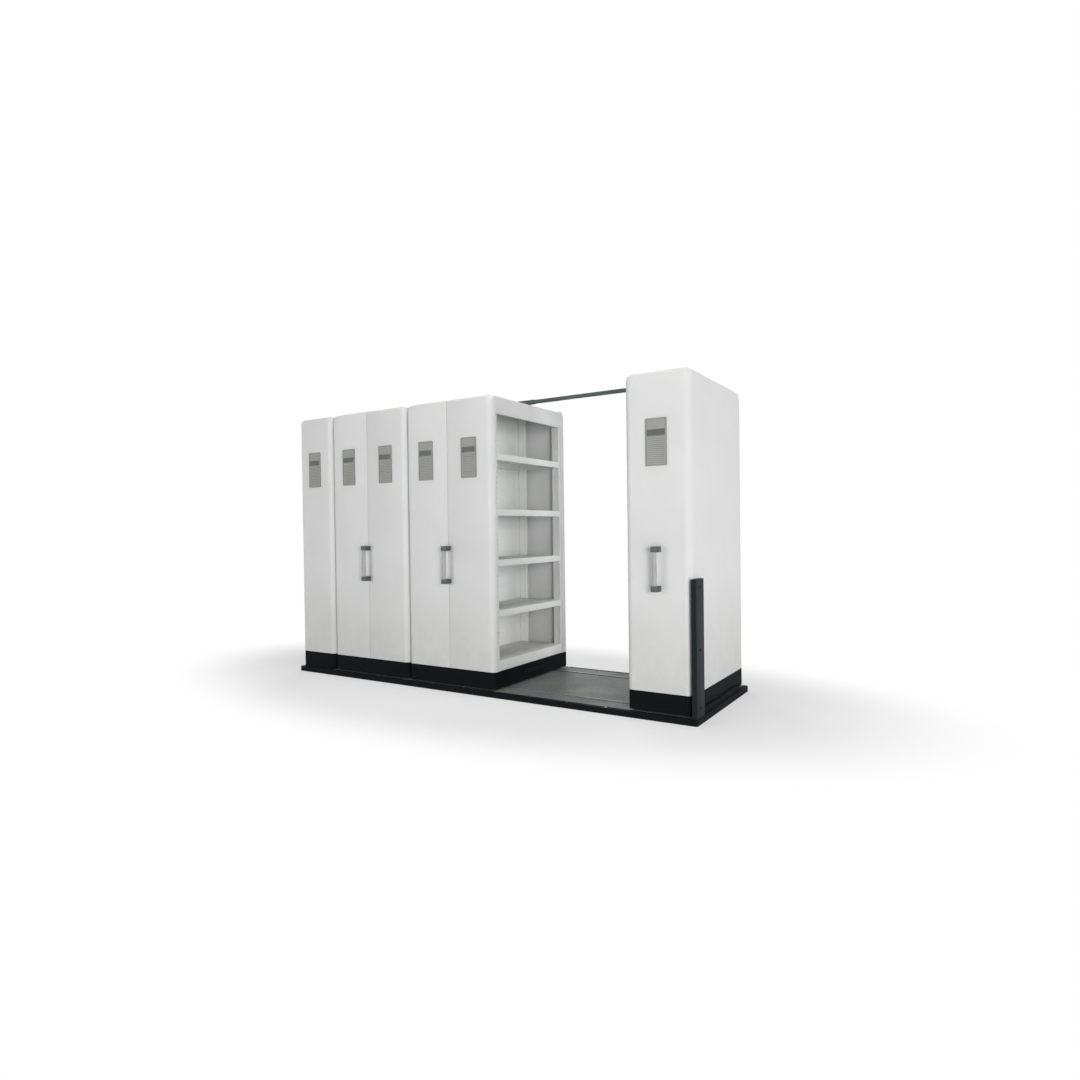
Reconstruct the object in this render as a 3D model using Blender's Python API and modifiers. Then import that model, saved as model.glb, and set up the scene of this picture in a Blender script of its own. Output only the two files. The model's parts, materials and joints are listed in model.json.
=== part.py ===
# Compact mobile shelving, in metres, +Z up. The fronts face -Y and the rails run along X.
# From left to right on one floor platform: a fixed single rack, two rolling double racks,
# an open aisle and a rolling single rack at the end.

import math

import bpy
import bmesh
from mathutils import Vector

# Clearances and cutters
touch_gap = 0.0003
overrun = 0.01
weld_distance = 0.00001
union_overlap = 0.001

# Floor platform
platform_length = 3.64
platform_height = 0.04
platform_front_margin = 0.03
platform_rear_margin = 0.03
platform_left_margin = 0.005
platform_right_margin = 0.04
rim_width = 0.034
joist_width = 0.04
joist_count = 9
platform_corner = 0.015
deck_thickness = 0.012
rail_width = 0.02
rail_above_deck = 0.005
rail_inset = 0.16
rail_slot_gap = 0.004
rail_start_gap = 0.01
rail_stop_length = 0.02
rail_stop_above_deck = 0.035
rail_stop_overhang = 0.03
stop_gap = 0.002

# Racks as a whole
body_top = 2.2
body_depth = 1.04
base_top = 0.174
static_width = 0.4
double_width = 0.835
end_width = 0.443
unit_gap = 0.012
buffer_thickness = 0.01
buffer_length = 0.3
buffer_height = 0.03

# Sheet metal panels
panel_depth = 0.05
panel_sheet = 0.0012
panel_rise = 0.01
panel_bend = 0.045
panel_top_bend = 0.02
panel_end_corner = 0.045
rear_panel_bend = 0.045
rear_panel_drop = 0.09
panel_seam = 0.003
cover_depth = 0.046
cover_bend = 0.045
cover_drop = 0.03
divider_sheet = 0.0012
top_sheet = 0.002
header_height = 0.125
top_lip_height = 0.02

# Uprights and shelves
rack_recess = 0.004
rack_back_gap = 0.004
post_depth = 0.07
post_face = 0.025
post_wall = 0.0015
shelf_sheet = 0.0012
shelf_lip = 0.048
shelf_inset = 0.001
shelf_tops = (0.25, 0.623, 0.998, 1.373, 1.783)

# Rolling base
base_clearance = 0.012
base_sheet = 0.003
axle_radius = 0.01
axle_play = 0.0005
wheel_radius = 0.045
wheel_flange = 0.003
wheel_flange_width = 0.004
wheel_rail_play = 0.001
axle_inset = 0.11
bearing_sheet = 0.006
bearing_drop = 0.1
bearing_gap = 0.004

# Handles
handle_height = 0.285
handle_centre_height = 0.96
handle_reach = 0.07
grip_radius = 0.013
leg_width = 0.05
leg_nose = 0.017
leg_height = 0.036

# Label holders
label_width = 0.14
label_height = 0.3
label_depth = 0.01
label_rim = 0.008
label_recess = 0.004
label_below_top = 0.44

# Overhead tie, two tubes that slide one in the other
tie_tube = 0.034
tie_wall = 0.002
tie_play = 0.001
tie_inner_wall = 0.0015
tie_above_top = 0.003
tie_start_inset = 0.05
tie_past_rack = 0.045
tie_engagement = 0.16
tie_on_end_rack = 0.12
tie_foot_length = 0.1
tie_foot_width = 0.08
guide_length = 0.06
guide_sheet = 0.002
guide_play = 0.0015
guide_flange = 0.02

# Stop post at the right end of the platform
post_stop_width = 0.034
post_stop_depth = 0.14
post_stop_forward = 0.02
post_stop_top = 0.9
post_stop_sheet = 0.003

# Counts of sides
round_steps = 20
hole_steps = 16
corner_steps = 4

# Two directions count as one within a degree
facing = math.cos(math.radians(1))
quarter_turn = math.radians(90)

# Places that follow from the sizes
overall_depth = handle_reach + body_depth + platform_rear_margin
front_y = handle_reach - overall_depth / 2
rear_y = front_y + body_depth
inner_front_y = front_y + panel_depth + touch_gap
inner_rear_y = rear_y - panel_depth - touch_gap
centre_y = (front_y + rear_y) / 2
platform_left = -platform_length / 2
platform_right = platform_length / 2
platform_front = front_y - platform_front_margin
platform_rear = rear_y + platform_rear_margin
deck_bottom = platform_height - deck_thickness
rail_top = platform_height + rail_above_deck
front_rail_y = front_y + rail_inset
rear_rail_y = rear_y - rail_inset
axle_height = rail_top + wheel_radius + touch_gap
base_bottom = platform_height + base_clearance
body_bottom = base_top + touch_gap
panel_top = body_top + panel_rise

static_left = platform_left + platform_left_margin
static_right = static_left + static_width
double_a_left = static_right + unit_gap
double_b_left = double_a_left + double_width + unit_gap
double_b_right = double_b_left + double_width
end_right = platform_right - platform_right_margin
end_left = end_right - end_width

# Colours, linear, with roughness and metallic value
finishes = {
    "painted_panel": ((0.665, 0.665, 0.66), 0.42, 0.0),
    "painted_shelf": ((0.62, 0.625, 0.62), 0.45, 0.0),
    "painted_base": ((0.008, 0.01, 0.011), 0.5, 0.0),
    "deck_floor": ((0.2, 0.205, 0.2), 0.7, 0.0),
    "rail_steel": ((0.42, 0.43, 0.43), 0.35, 1.0),
    "wheel_steel": ((0.3, 0.3, 0.3), 0.4, 1.0),
    "buffer_rubber": ((0.02, 0.02, 0.02), 0.85, 0.0),
    "handle_grey": ((0.27, 0.27, 0.27), 0.4, 0.0),
    "label_grey": ((0.28, 0.28, 0.28), 0.5, 0.0),
    "tie_paint": ((0.075, 0.095, 0.09), 0.45, 0.0),
}


def clear_scene():
    for old in list(bpy.data.objects):
        bpy.data.objects.remove(old, do_unlink=True)


def new_collection(name):
    made = bpy.data.collections.new(name)
    bpy.context.scene.collection.children.link(made)
    return made


def make_material(name, colour, roughness, metallic):
    made = bpy.data.materials.new(name)
    made.use_nodes = True
    shader = made.node_tree.nodes["Principled BSDF"]
    shader.inputs["Base Color"].default_value = (*colour, 1.0)
    shader.inputs["Roughness"].default_value = roughness
    shader.inputs["Metallic"].default_value = metallic
    return made


clear_scene()
parts = new_collection("compact_mobile_shelving")
helpers = new_collection("helpers")


def add_part(name, mesh, finish, location, parent=None, rotation=(0, 0, 0)):
    made = bpy.data.objects.new(name, mesh)
    parts.objects.link(made)
    made.location = location
    made.rotation_euler = rotation
    made.parent = parent
    mesh.materials.clear()
    mesh.materials.append(make_material(name + "_finish", *finishes[finish]))
    return made


def add_helper(name, mesh, location, parent=None, rotation=(0, 0, 0)):
    made = bpy.data.objects.new(name, mesh)
    helpers.objects.link(made)
    made.location = location
    made.rotation_euler = rotation
    made.parent = parent
    made.hide_render = True
    made.display_type = "WIRE"
    return made


def mesh_from(bm, name):
    mesh = bpy.data.meshes.new(name)
    bm.to_mesh(mesh)
    bm.free()
    return mesh


def add_box(bm, low, high):
    low, high = Vector(low), Vector(high)
    corners = bmesh.ops.create_cube(bm, size=1)["verts"]
    bmesh.ops.scale(bm, vec=high - low, verts=corners)
    bmesh.ops.translate(bm, vec=(low + high) / 2, verts=corners)
    return corners


def boxes_mesh(name, boxes):
    bm = bmesh.new()
    for low, high in boxes:
        add_box(bm, low, high)
    return mesh_from(bm, name)


def box_part(name, low, high, finish, parent=None):
    low, high = Vector(low), Vector(high)
    half = (high - low) / 2
    return add_part(name, boxes_mesh(name, [(-half, half)]), finish, (low + high) / 2, parent)


def lies_on(edge, axis, value):
    return all(abs(v.co[axis] - value) < weld_distance for v in edge.verts)


def round_edges(bm, chosen, radius):
    bmesh.ops.bevel(
        bm, geom=chosen, offset=radius, segments=corner_steps, profile=0.5, affect="EDGES"
    )


def remove_faces_towards(bm, side):
    bm.normal_update()
    gone = [f for f in bm.faces if f.normal.dot(Vector(side)) > facing]
    bmesh.ops.delete(bm, geom=gone, context="FACES_ONLY")


def add_thickness(made, sheet):
    solid = made.modifiers.new("sheet", "SOLIDIFY")
    solid.thickness = sheet
    solid.offset = -1
    solid.use_even_offset = True


def pan_part(name, low, high, open_side, sheet, finish, parent=None, rounding=None):
    """A folded sheet: a flat face with four turned edges, open towards open_side."""
    low, high = Vector(low), Vector(high)
    half = (high - low) / 2
    bm = bmesh.new()
    add_box(bm, -half, half)
    if rounding:
        rounding(bm, half)
    remove_faces_towards(bm, open_side)
    made = add_part(name, mesh_from(bm, name), finish, (low + high) / 2, parent)
    add_thickness(made, sheet)
    return made


def quarter_arc():
    """From nothing to a whole: shares of the way along and across a quarter turn."""
    for step in range(corner_steps + 1):
        angle = quarter_turn * step / corner_steps
        yield math.sin(angle), 1 - math.cos(angle)


def hood_outline(left, right, foot, top, corners):
    """The outline of a panel in X and Z. A corner is how far it cuts across and down, or None."""
    points = [(left, foot)]
    for edge, side, corner in ((left, -1, corners[0]), (right, 1, corners[1])):
        if not corner:
            points.append((edge, top))
            continue
        across, down = corner
        arc = [(edge - side * across * over, top - down * (1 - up)) for up, over in quarter_arc()]
        points += reversed(arc) if side > 0 else arc
    return points + [(right, foot)]


def hood_part(name, low, high, face, bends, corners, parent):
    """A pan whose face, at -Y or Y by the sign of face, turns back in a bend at its left, right
    and top. bends gives the three and the depth that they take."""
    low, high = Vector(low), Vector(high)
    half = (high - low) / 2
    left_bend, right_bend, top_bend, depth_bend = bends
    levels = [(-face * half.y, 0)]
    levels += [(face * (half.y - depth_bend * (1 - up)), over) for up, over in quarter_arc()]
    bm = bmesh.new()
    loops = []
    for y, share in levels:
        outline = hood_outline(
            left_bend * share - half.x,
            half.x - right_bend * share,
            -half.z,
            half.z - top_bend * share,
            corners,
        )
        loops.append([bm.verts.new((x, y, z)) for x, z in outline])
    for near, far in zip(loops, loops[1:]):
        for first, second, third, fourth in zip(near, near[1:] + near[:1], far[1:] + far[:1], far):
            bm.faces.new((first, second, third, fourth))
    cap = bm.faces.new(loops[-1])
    bmesh.ops.recalc_face_normals(bm, faces=bm.faces)
    bm.normal_update()
    if cap.normal.y * face < 0:
        bmesh.ops.reverse_faces(bm, faces=bm.faces)
    made = add_part(name, mesh_from(bm, name), "painted_panel", (low + high) / 2, parent)
    add_thickness(made, panel_sheet)


def outline_mesh(name, outlines, length):
    """Closed outlines in the XY plane, the later ones cutting holes in the first, made a solid
    of the given length that is centred on that plane."""
    curve = bpy.data.curves.new(name, "CURVE")
    curve.dimensions = "2D"
    curve.fill_mode = "BOTH"
    curve.extrude = length / 2
    for outline in outlines:
        spline = curve.splines.new("POLY")
        spline.points.add(len(outline) - 1)
        for point, (u, v) in zip(spline.points, outline):
            point.co = (u, v, 0, 1)
        spline.use_cyclic_u = True
    holder = bpy.data.objects.new(name + "_outline", curve)
    helpers.objects.link(holder)
    graph = bpy.context.evaluated_depsgraph_get()
    mesh = bpy.data.meshes.new_from_object(holder.evaluated_get(graph))
    bpy.data.objects.remove(holder, do_unlink=True)
    bm = bmesh.new()
    bm.from_mesh(mesh)
    bmesh.ops.remove_doubles(bm, verts=bm.verts, dist=weld_distance)
    bmesh.ops.recalc_face_normals(bm, faces=bm.faces)
    bm.to_mesh(mesh)
    bm.free()
    return mesh


along_x = (quarter_turn, 0, quarter_turn)
along_y = (quarter_turn, 0, 0)


def rectangle(left, bottom, right, top):
    return [(left, bottom), (right, bottom), (right, top), (left, top)]


def boolean(made, tool, operation):
    step = made.modifiers.new(operation.lower(), "BOOLEAN")
    step.operation = operation
    step.solver = "EXACT"
    step.object = tool


def cylinder_mesh(name, radius, length, steps):
    bm = bmesh.new()
    bmesh.ops.create_cone(
        bm, cap_ends=True, segments=steps, radius1=radius, radius2=radius, depth=length
    )
    return mesh_from(bm, name)


def place_empty(name, x, parent=None):
    made = bpy.data.objects.new(name, None)
    parts.objects.link(made)
    made.parent = parent
    made.location = (x - (parent.location.x if parent else 0), 0, 0)
    return made


# Floor platform: a frame with joists, three deck strips and two rails
def build_platform():
    bm = bmesh.new()
    add_box(
        bm,
        (platform_left, platform_front, 0),
        (platform_right, platform_rear, platform_height),
    )
    upright = [e for e in bm.edges if e.verts[0].co.xy == e.verts[1].co.xy]
    round_edges(bm, upright, platform_corner)
    frame = add_part("platform_frame", mesh_from(bm, "platform_frame"), "painted_base", (0, 0, 0))
    inner_left = platform_left + rim_width
    inner_right = platform_right - rim_width
    pocket = boxes_mesh(
        "platform_pocket",
        [
            (
                (inner_left, platform_front + rim_width, deck_bottom),
                (inner_right, platform_rear - rim_width, platform_height + overrun),
            )
        ],
    )
    boolean(frame, add_helper("platform_pocket", pocket, (0, 0, 0)), "DIFFERENCE")
    bay_count = joist_count + 1
    ledge_left = inner_left + joist_width
    ledge_right = inner_right - joist_width
    bay_length = (ledge_right - ledge_left - joist_count * joist_width) / bay_count
    windows = []
    for bay in range(bay_count):
        left = ledge_left + bay * (bay_length + joist_width)
        low = (left, platform_front + rim_width + joist_width, -overrun)
        high = (left + bay_length, platform_rear - rim_width - joist_width, platform_height)
        windows.append((low, high))
    helper = add_helper("platform_windows", boxes_mesh("platform_windows", windows), (0, 0, 0))
    boolean(frame, helper, "DIFFERENCE")

    slot = rail_width / 2 + rail_slot_gap
    strips = {
        "deck_front_strip": (platform_front + rim_width + touch_gap, front_rail_y - slot),
        "deck_centre": (front_rail_y + slot, rear_rail_y - slot),
        "deck_rear_strip": (rear_rail_y + slot, platform_rear - rim_width - touch_gap),
    }
    for name, (near, far) in strips.items():
        box_part(
            name,
            (inner_left + touch_gap, near, deck_bottom + touch_gap),
            (inner_right - touch_gap, far, platform_height),
            "deck_floor",
        )

    stop_left = end_right + stop_gap
    for name, rail_y in (("rail_front", front_rail_y), ("rail_rear", rear_rail_y)):
        box_part(
            name,
            (static_right + rail_start_gap, rail_y - rail_width / 2, deck_bottom + touch_gap),
            (stop_left - touch_gap, rail_y + rail_width / 2, rail_top),
            "rail_steel",
        )
    box_part(
        "rail_end_stop",
        (stop_left, front_rail_y - rail_stop_overhang, platform_height + touch_gap),
        (
            stop_left + rail_stop_length,
            rear_rail_y + rail_stop_overhang,
            platform_height + rail_stop_above_deck,
        ),
        "painted_base",
    )
    pan_part(
        "end_stop_post",
        (stop_left, front_y - post_stop_forward, platform_height + touch_gap),
        (
            stop_left + post_stop_width,
            front_y - post_stop_forward + post_stop_depth,
            post_stop_top,
        ),
        (0, 0, -1),
        post_stop_sheet,
        "painted_base",
    )


def round_front_uprights(bm, half):
    chosen = [
        e
        for e in bm.edges
        if lies_on(e, 1, -half.y) and (lies_on(e, 0, -half.x) or lies_on(e, 0, half.x))
    ]
    round_edges(bm, chosen, panel_bend)


# Bases: a box open below, with bearing plates and axle holes on the rolling ones
def build_base(name, left, right, bottom, parent, rolling):
    base = pan_part(
        name,
        (left, front_y, bottom),
        (right, rear_y, base_top),
        (0, 0, -1),
        base_sheet,
        "painted_base",
        parent,
        round_front_uprights,
    )
    if not rolling:
        return
    middle = base.location
    plates = []
    wheel_half = rail_width / 2 + wheel_rail_play + wheel_flange_width
    near = front_rail_y + wheel_half + bearing_gap
    far = rear_rail_y - wheel_half - bearing_gap
    wall = base_sheet - union_overlap
    top = base_top - wall - middle.z
    for low_y in (near, far - bearing_sheet):
        low = (left + wall - middle.x, low_y - middle.y, top - bearing_drop)
        high = (right - wall - middle.x, low_y + bearing_sheet - middle.y, top)
        plates.append((low, high))
    tool = add_helper(name + "_plates", boxes_mesh(name + "_plates", plates), middle, parent)
    boolean(base, tool, "UNION")
    bm = bmesh.new()
    for axle_x in (left + axle_inset, right - axle_inset):
        made = bmesh.ops.create_cone(
            bm,
            cap_ends=True,
            segments=hole_steps,
            radius1=axle_radius + axle_play,
            radius2=axle_radius + axle_play,
            depth=far - near + overrun,
        )["verts"]
        bmesh.ops.translate(bm, vec=(axle_x, axle_height, 0), verts=made)
    holes = add_helper(
        name + "_axle_holes",
        mesh_from(bm, name + "_axle_holes"),
        (0, (near + far) / 2, 0),
        parent,
        along_y,
    )
    boolean(base, holes, "DIFFERENCE")


def build_wheelset(name, x, parent):
    """A shaft with a flanged wheel over each rail, turned as one profile about the shaft."""
    middle = (rear_rail_y - front_rail_y) / 2
    tread_half = rail_width / 2 + wheel_rail_play
    wheel_half = tread_half + wheel_flange_width
    rim = wheel_radius + wheel_flange
    half = [
        (0, middle + wheel_half),
        (rim, middle + wheel_half),
        (rim, middle + tread_half),
        (wheel_radius, middle + tread_half),
        (wheel_radius, middle - tread_half),
        (rim, middle - tread_half),
        (rim, middle - wheel_half),
        (axle_radius, middle - wheel_half),
    ]
    profile = half + [(radius, -along) for radius, along in reversed(half)]
    bm = bmesh.new()
    points = [bm.verts.new((radius, 0, along)) for radius, along in profile]
    for first, second in zip(points, points[1:]):
        bm.edges.new((first, second))
    made = add_part(
        name,
        mesh_from(bm, name),
        "wheel_steel",
        (x, centre_y, axle_height),
        parent,
        along_y,
    )
    turn = made.modifiers.new("turn", "SCREW")
    turn.axis = "Z"
    turn.steps = round_steps
    turn.render_steps = round_steps
    turn.use_merge_vertices = True
    turn.merge_threshold = weld_distance


# Uprights and shelves of one single-sided rack, joined into one frame
def build_rack(name, left, right, parent):
    bottom = body_bottom
    top = body_top - top_sheet - touch_gap
    low_y, high_y = inner_front_y, inner_rear_y
    middle = Vector(((left + right) / 2, centre_y, (bottom + top) / 2))
    outlines = []
    for post_left in (left, right - post_depth):
        for post_front in (low_y, high_y - post_face):
            near_x = post_left - middle.x
            near_y = post_front - middle.y
            outlines.append(rectangle(near_x, near_y, near_x + post_depth, near_y + post_face))
            outlines.append(
                rectangle(
                    near_x + post_wall,
                    near_y + post_wall,
                    near_x + post_depth - post_wall,
                    near_y + post_face - post_wall,
                )
            )
    posts = outline_mesh(name, outlines, top - bottom)
    rack = add_part(name, posts, "painted_shelf", middle, parent)
    bm = bmesh.new()
    shelf_front = low_y + post_face - union_overlap - middle.y
    shelf_rear = high_y - post_face + union_overlap - middle.y
    for index, shelf_top in enumerate(shelf_tops):
        under = shelf_top - shelf_lip if index else bottom + touch_gap
        add_box(
            bm,
            (left + shelf_inset - middle.x, shelf_front, under - middle.z),
            (right - shelf_inset - middle.x, shelf_rear, shelf_top - middle.z),
        )
    remove_faces_towards(bm, (0, 0, -1))
    shelves = add_helper(name + "_shelves", mesh_from(bm, name + "_shelves"), middle, parent)
    add_thickness(shelves, shelf_sheet)
    boolean(rack, shelves, "UNION")


# Top cover: a sheet with a deep header over each open side and a short lip over a closed one
def build_top(name, left, right, left_drop, right_drop, parent):
    length = inner_rear_y - inner_front_y
    middle_x = (left + right) / 2
    half = (right - left) / 2
    outline = [
        (-half, body_top - left_drop),
        (-half + top_sheet, body_top - left_drop),
        (-half + top_sheet, body_top - top_sheet),
        (half - top_sheet, body_top - top_sheet),
        (half - top_sheet, body_top - right_drop),
        (half, body_top - right_drop),
        (half, body_top),
        (-half, body_top),
    ]
    mesh = outline_mesh(name, [outline], length)
    add_part(name, mesh, "painted_panel", (middle_x, centre_y, 0), parent, along_y)


def build_front_panel(name, left, right, parent, corners, flat_side=0):
    """Bent back at its sides, but not on flat_side, which is -1, 1 or 0 for none."""
    hood_part(
        name,
        (left, front_y, body_bottom),
        (right, front_y + panel_depth, panel_top),
        -1,
        (
            0 if flat_side < 0 else panel_bend,
            0 if flat_side > 0 else panel_bend,
            panel_top_bend,
            panel_bend,
        ),
        corners,
        parent,
    )


def build_rear_panel(name, left, right, parent, corners=(None, None)):
    hood_part(
        name,
        (left, rear_y - panel_depth, body_bottom),
        (right, rear_y, panel_top),
        1,
        (0, 0, rear_panel_drop, rear_panel_bend),
        corners,
        parent,
    )


def build_side_cover(name, left, right, open_side, parent):
    def rounding(bm, half):
        outer = -open_side[0] * half.x
        chosen = [e for e in bm.edges if lies_on(e, 0, outer) and lies_on(e, 2, half.z)]
        round_edges(bm, chosen, cover_bend)
        for v in bm.verts:
            drop = half.z - v.co.z
            if drop < cover_bend + weld_distance:
                v.co.z = half.z - drop * cover_drop / cover_bend

    pan_part(
        name,
        (left, inner_front_y, body_bottom),
        (right, inner_rear_y, panel_top),
        open_side,
        panel_sheet,
        "painted_panel",
        parent,
        rounding,
    )


# Corners of the end panels' outlines: on the aisle side, and to meet the side cover
aisle_corner = (panel_end_corner, panel_end_corner)
cover_corner = (cover_bend, cover_drop)


def build_label(name, x, parent):
    """A shallow frame that holds a card, fixed to the front panel."""
    bm = bmesh.new()
    half = Vector((label_width / 2, label_depth / 2, label_height / 2))
    add_box(bm, -half, half)
    bm.normal_update()
    front = [f for f in bm.faces if -f.normal.y > facing]
    bmesh.ops.inset_region(bm, faces=front, thickness=label_rim, use_even_offset=True)
    bmesh.ops.inset_region(bm, faces=front, thickness=touch_gap, use_even_offset=True)
    bmesh.ops.translate(bm, vec=(0, label_recess, 0), verts=list(front[0].verts))
    place = (x, front_y - touch_gap - label_depth / 2, body_top - label_below_top)
    add_part(name, mesh_from(bm, name), "label_grey", place, parent)


def build_handle(name, x, parent):
    """A straight grip that stands off the panel on two legs with rounded noses."""
    side = leg_width / 2
    grip_y = leg_nose - handle_reach
    nose = [(side - leg_nose * over, grip_y - leg_nose * up) for up, over in quarter_arc()]
    leg = [(-side, -touch_gap)] + [(-u, v) for u, v in nose]
    leg += list(reversed(nose)) + [(side, -touch_gap)]
    low = handle_centre_height - handle_height / 2
    high = handle_centre_height + handle_height / 2
    lower = outline_mesh(name, [leg], leg_height)
    upper = outline_mesh(name + "_upper", [leg], leg_height)
    handle = add_part(name, lower, "handle_grey", (x, front_y, low + leg_height / 2), parent)
    place = (x, front_y, high - leg_height / 2)
    boolean(handle, add_helper(name + "_upper", upper, place, parent), "UNION")
    grip = cylinder_mesh(
        name + "_grip", grip_radius, handle_height - leg_height, hole_steps
    )
    place = (x, front_y + grip_y, handle_centre_height)
    boolean(handle, add_helper(name + "_grip", grip, place, parent), "UNION")


def build_buffer(name, base_right, parent):
    middle_z = (base_bottom + base_top) / 2
    box_part(
        name,
        (base_right + touch_gap, centre_y - buffer_length / 2, middle_z - buffer_height / 2),
        (base_right + buffer_thickness, centre_y + buffer_length / 2, middle_z + buffer_height / 2),
        "buffer_rubber",
        parent,
    )


def square_tube(name, width, wall, length):
    half = width / 2
    inner = half - wall
    outlines = [rectangle(-half, -half, half, half), rectangle(-inner, -inner, inner, inner)]
    return outline_mesh(name, outlines, length)


tie_height = body_top + tie_above_top + tie_tube / 2
tie_inner_tube = tie_tube - (tie_wall + tie_play) * 2


def build_tie_outer():
    left = static_left + tie_start_inset
    right = double_b_right + tie_past_rack
    mesh = square_tube("tie_tube_outer", tie_tube, tie_wall, right - left)
    place = ((left + right) / 2, centre_y, tie_height)
    add_part("tie_tube_outer", mesh, "tie_paint", place, rotation=along_x)
    box_part(
        "static_tie_foot",
        (left, centre_y - tie_foot_width / 2, body_top + touch_gap),
        (
            left + tie_foot_length,
            centre_y + tie_foot_width / 2,
            body_top + tie_above_top - touch_gap,
        ),
        "tie_paint",
    )


def build_tie_inner(parent):
    shift = parent.matrix_world.translation.x
    right = end_left + tie_on_end_rack - shift
    left = double_b_right + tie_past_rack - tie_engagement - shift
    mesh = square_tube("tie_tube_inner", tie_inner_tube, tie_inner_wall, right - left)
    place = ((left + right) / 2, centre_y, tie_height)
    add_part("tie_tube_inner", mesh, "tie_paint", place, parent, along_x)
    box_part(
        "c_tie_foot",
        (right - tie_foot_length, centre_y - tie_foot_width / 2, body_top + touch_gap),
        (right, centre_y + tie_foot_width / 2, tie_height - tie_inner_tube / 2 - touch_gap),
        "tie_paint",
        parent,
    )


def build_tie_guide(name, x, parent):
    """A hat-shaped bridge that keeps the rack under the outer tie tube."""
    inner = tie_tube / 2 + guide_play
    outer = inner + guide_sheet
    bottom = body_top + touch_gap
    shelf = bottom + guide_sheet
    roof = body_top + tie_above_top + tie_tube + guide_play
    side = [
        (outer + guide_flange, bottom),
        (outer + guide_flange, shelf),
        (outer, shelf),
        (outer, roof + guide_sheet),
    ]
    under = [(inner, roof), (inner, bottom)]
    outline = side + [(-u, v) for u, v in reversed(side)]
    outline += [(-u, v) for u, v in reversed(under)] + under
    mesh = outline_mesh(name, [outline], guide_length)
    add_part(name, mesh, "tie_paint", (x, centre_y, 0), parent, along_x)


# The fixed rack on the left, open to the right
def build_static():
    left, right = static_left, static_right
    build_base("static_base", left, right, platform_height + touch_gap, None, False)
    build_front_panel("static_front_panel", left, right, None, (cover_corner, aisle_corner))
    build_rear_panel("static_rear_panel", left, right, None, (cover_corner, None))
    cover_right = left + cover_depth
    build_side_cover("static_side_cover", left, cover_right, (1, 0, 0), None)
    build_rack("static_rack", cover_right + rack_back_gap, right - rack_recess, None)
    build_top(
        "static_top", cover_right + touch_gap, right, top_lip_height, header_height, None
    )
    build_label("static_label_holder", (left + right) / 2, None)
    build_buffer("static_buffer", right, None)
    build_tie_outer()


# A rolling rack with two open sides
def build_double(prefix, left, parent):
    unit = place_empty(prefix + "_unit", left + double_width / 2, parent)
    bpy.context.view_layer.update()
    half = double_width / 2
    build_base(prefix + "_carriage", -half, half, base_bottom, unit, True)
    build_wheelset(prefix + "_wheelset_left", -half + axle_inset, unit)
    build_wheelset(prefix + "_wheelset_right", half - axle_inset, unit)
    seam = panel_seam / 2
    build_front_panel(prefix + "_front_panel_left", -half, -seam, unit, (aisle_corner, None), 1)
    build_front_panel(prefix + "_front_panel_right", seam, half, unit, (None, aisle_corner), -1)
    build_rear_panel(prefix + "_rear_panel", -half, half, unit)
    box_part(
        prefix + "_divider",
        (-divider_sheet / 2, inner_front_y, body_bottom),
        (divider_sheet / 2, inner_rear_y, body_top - top_sheet - touch_gap),
        "painted_shelf",
        unit,
    )
    build_rack(prefix + "_rack_left", -half + rack_recess, -rack_back_gap, unit)
    build_rack(prefix + "_rack_right", rack_back_gap, half - rack_recess, unit)
    build_top(prefix + "_top", -half, half, header_height, header_height, unit)
    build_handle(prefix + "_handle", 0, unit)
    build_label(prefix + "_label_holder_left", -half / 2, unit)
    build_label(prefix + "_label_holder_right", half / 2, unit)
    build_buffer(prefix + "_buffer", half, unit)
    build_tie_guide(prefix + "_tie_guide", 0, unit)
    return unit


# The rolling rack at the right end, open to the left
def build_end():
    unit = place_empty("c_unit", (end_left + end_right) / 2)
    bpy.context.view_layer.update()
    half = end_width / 2
    build_base("c_carriage", -half, half, base_bottom, unit, True)
    build_wheelset("c_wheelset_left", -half + axle_inset, unit)
    build_wheelset("c_wheelset_right", half - axle_inset, unit)
    build_front_panel("c_front_panel", -half, half, unit, (aisle_corner, cover_corner))
    build_rear_panel("c_rear_panel", -half, half, unit, (None, cover_corner))
    cover_left = half - cover_depth
    build_side_cover("c_side_cover", cover_left, half, (-1, 0, 0), unit)
    build_rack("c_rack", -half + rack_recess, cover_left - rack_back_gap, unit)
    build_top("c_top", -half, cover_left - touch_gap, header_height, top_lip_height, unit)
    build_handle("c_handle", 0, unit)
    build_label("c_label_holder", 0, unit)
    build_tie_inner(unit)


build_platform()
build_static()
unit_a = build_double("a", double_a_left, None)
build_double("b", double_b_left, unit_a)
build_end()
bpy.context.view_layer.update()
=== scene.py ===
import json
import math

import bmesh
import bpy
from mathutils import Matrix, Vector


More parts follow.
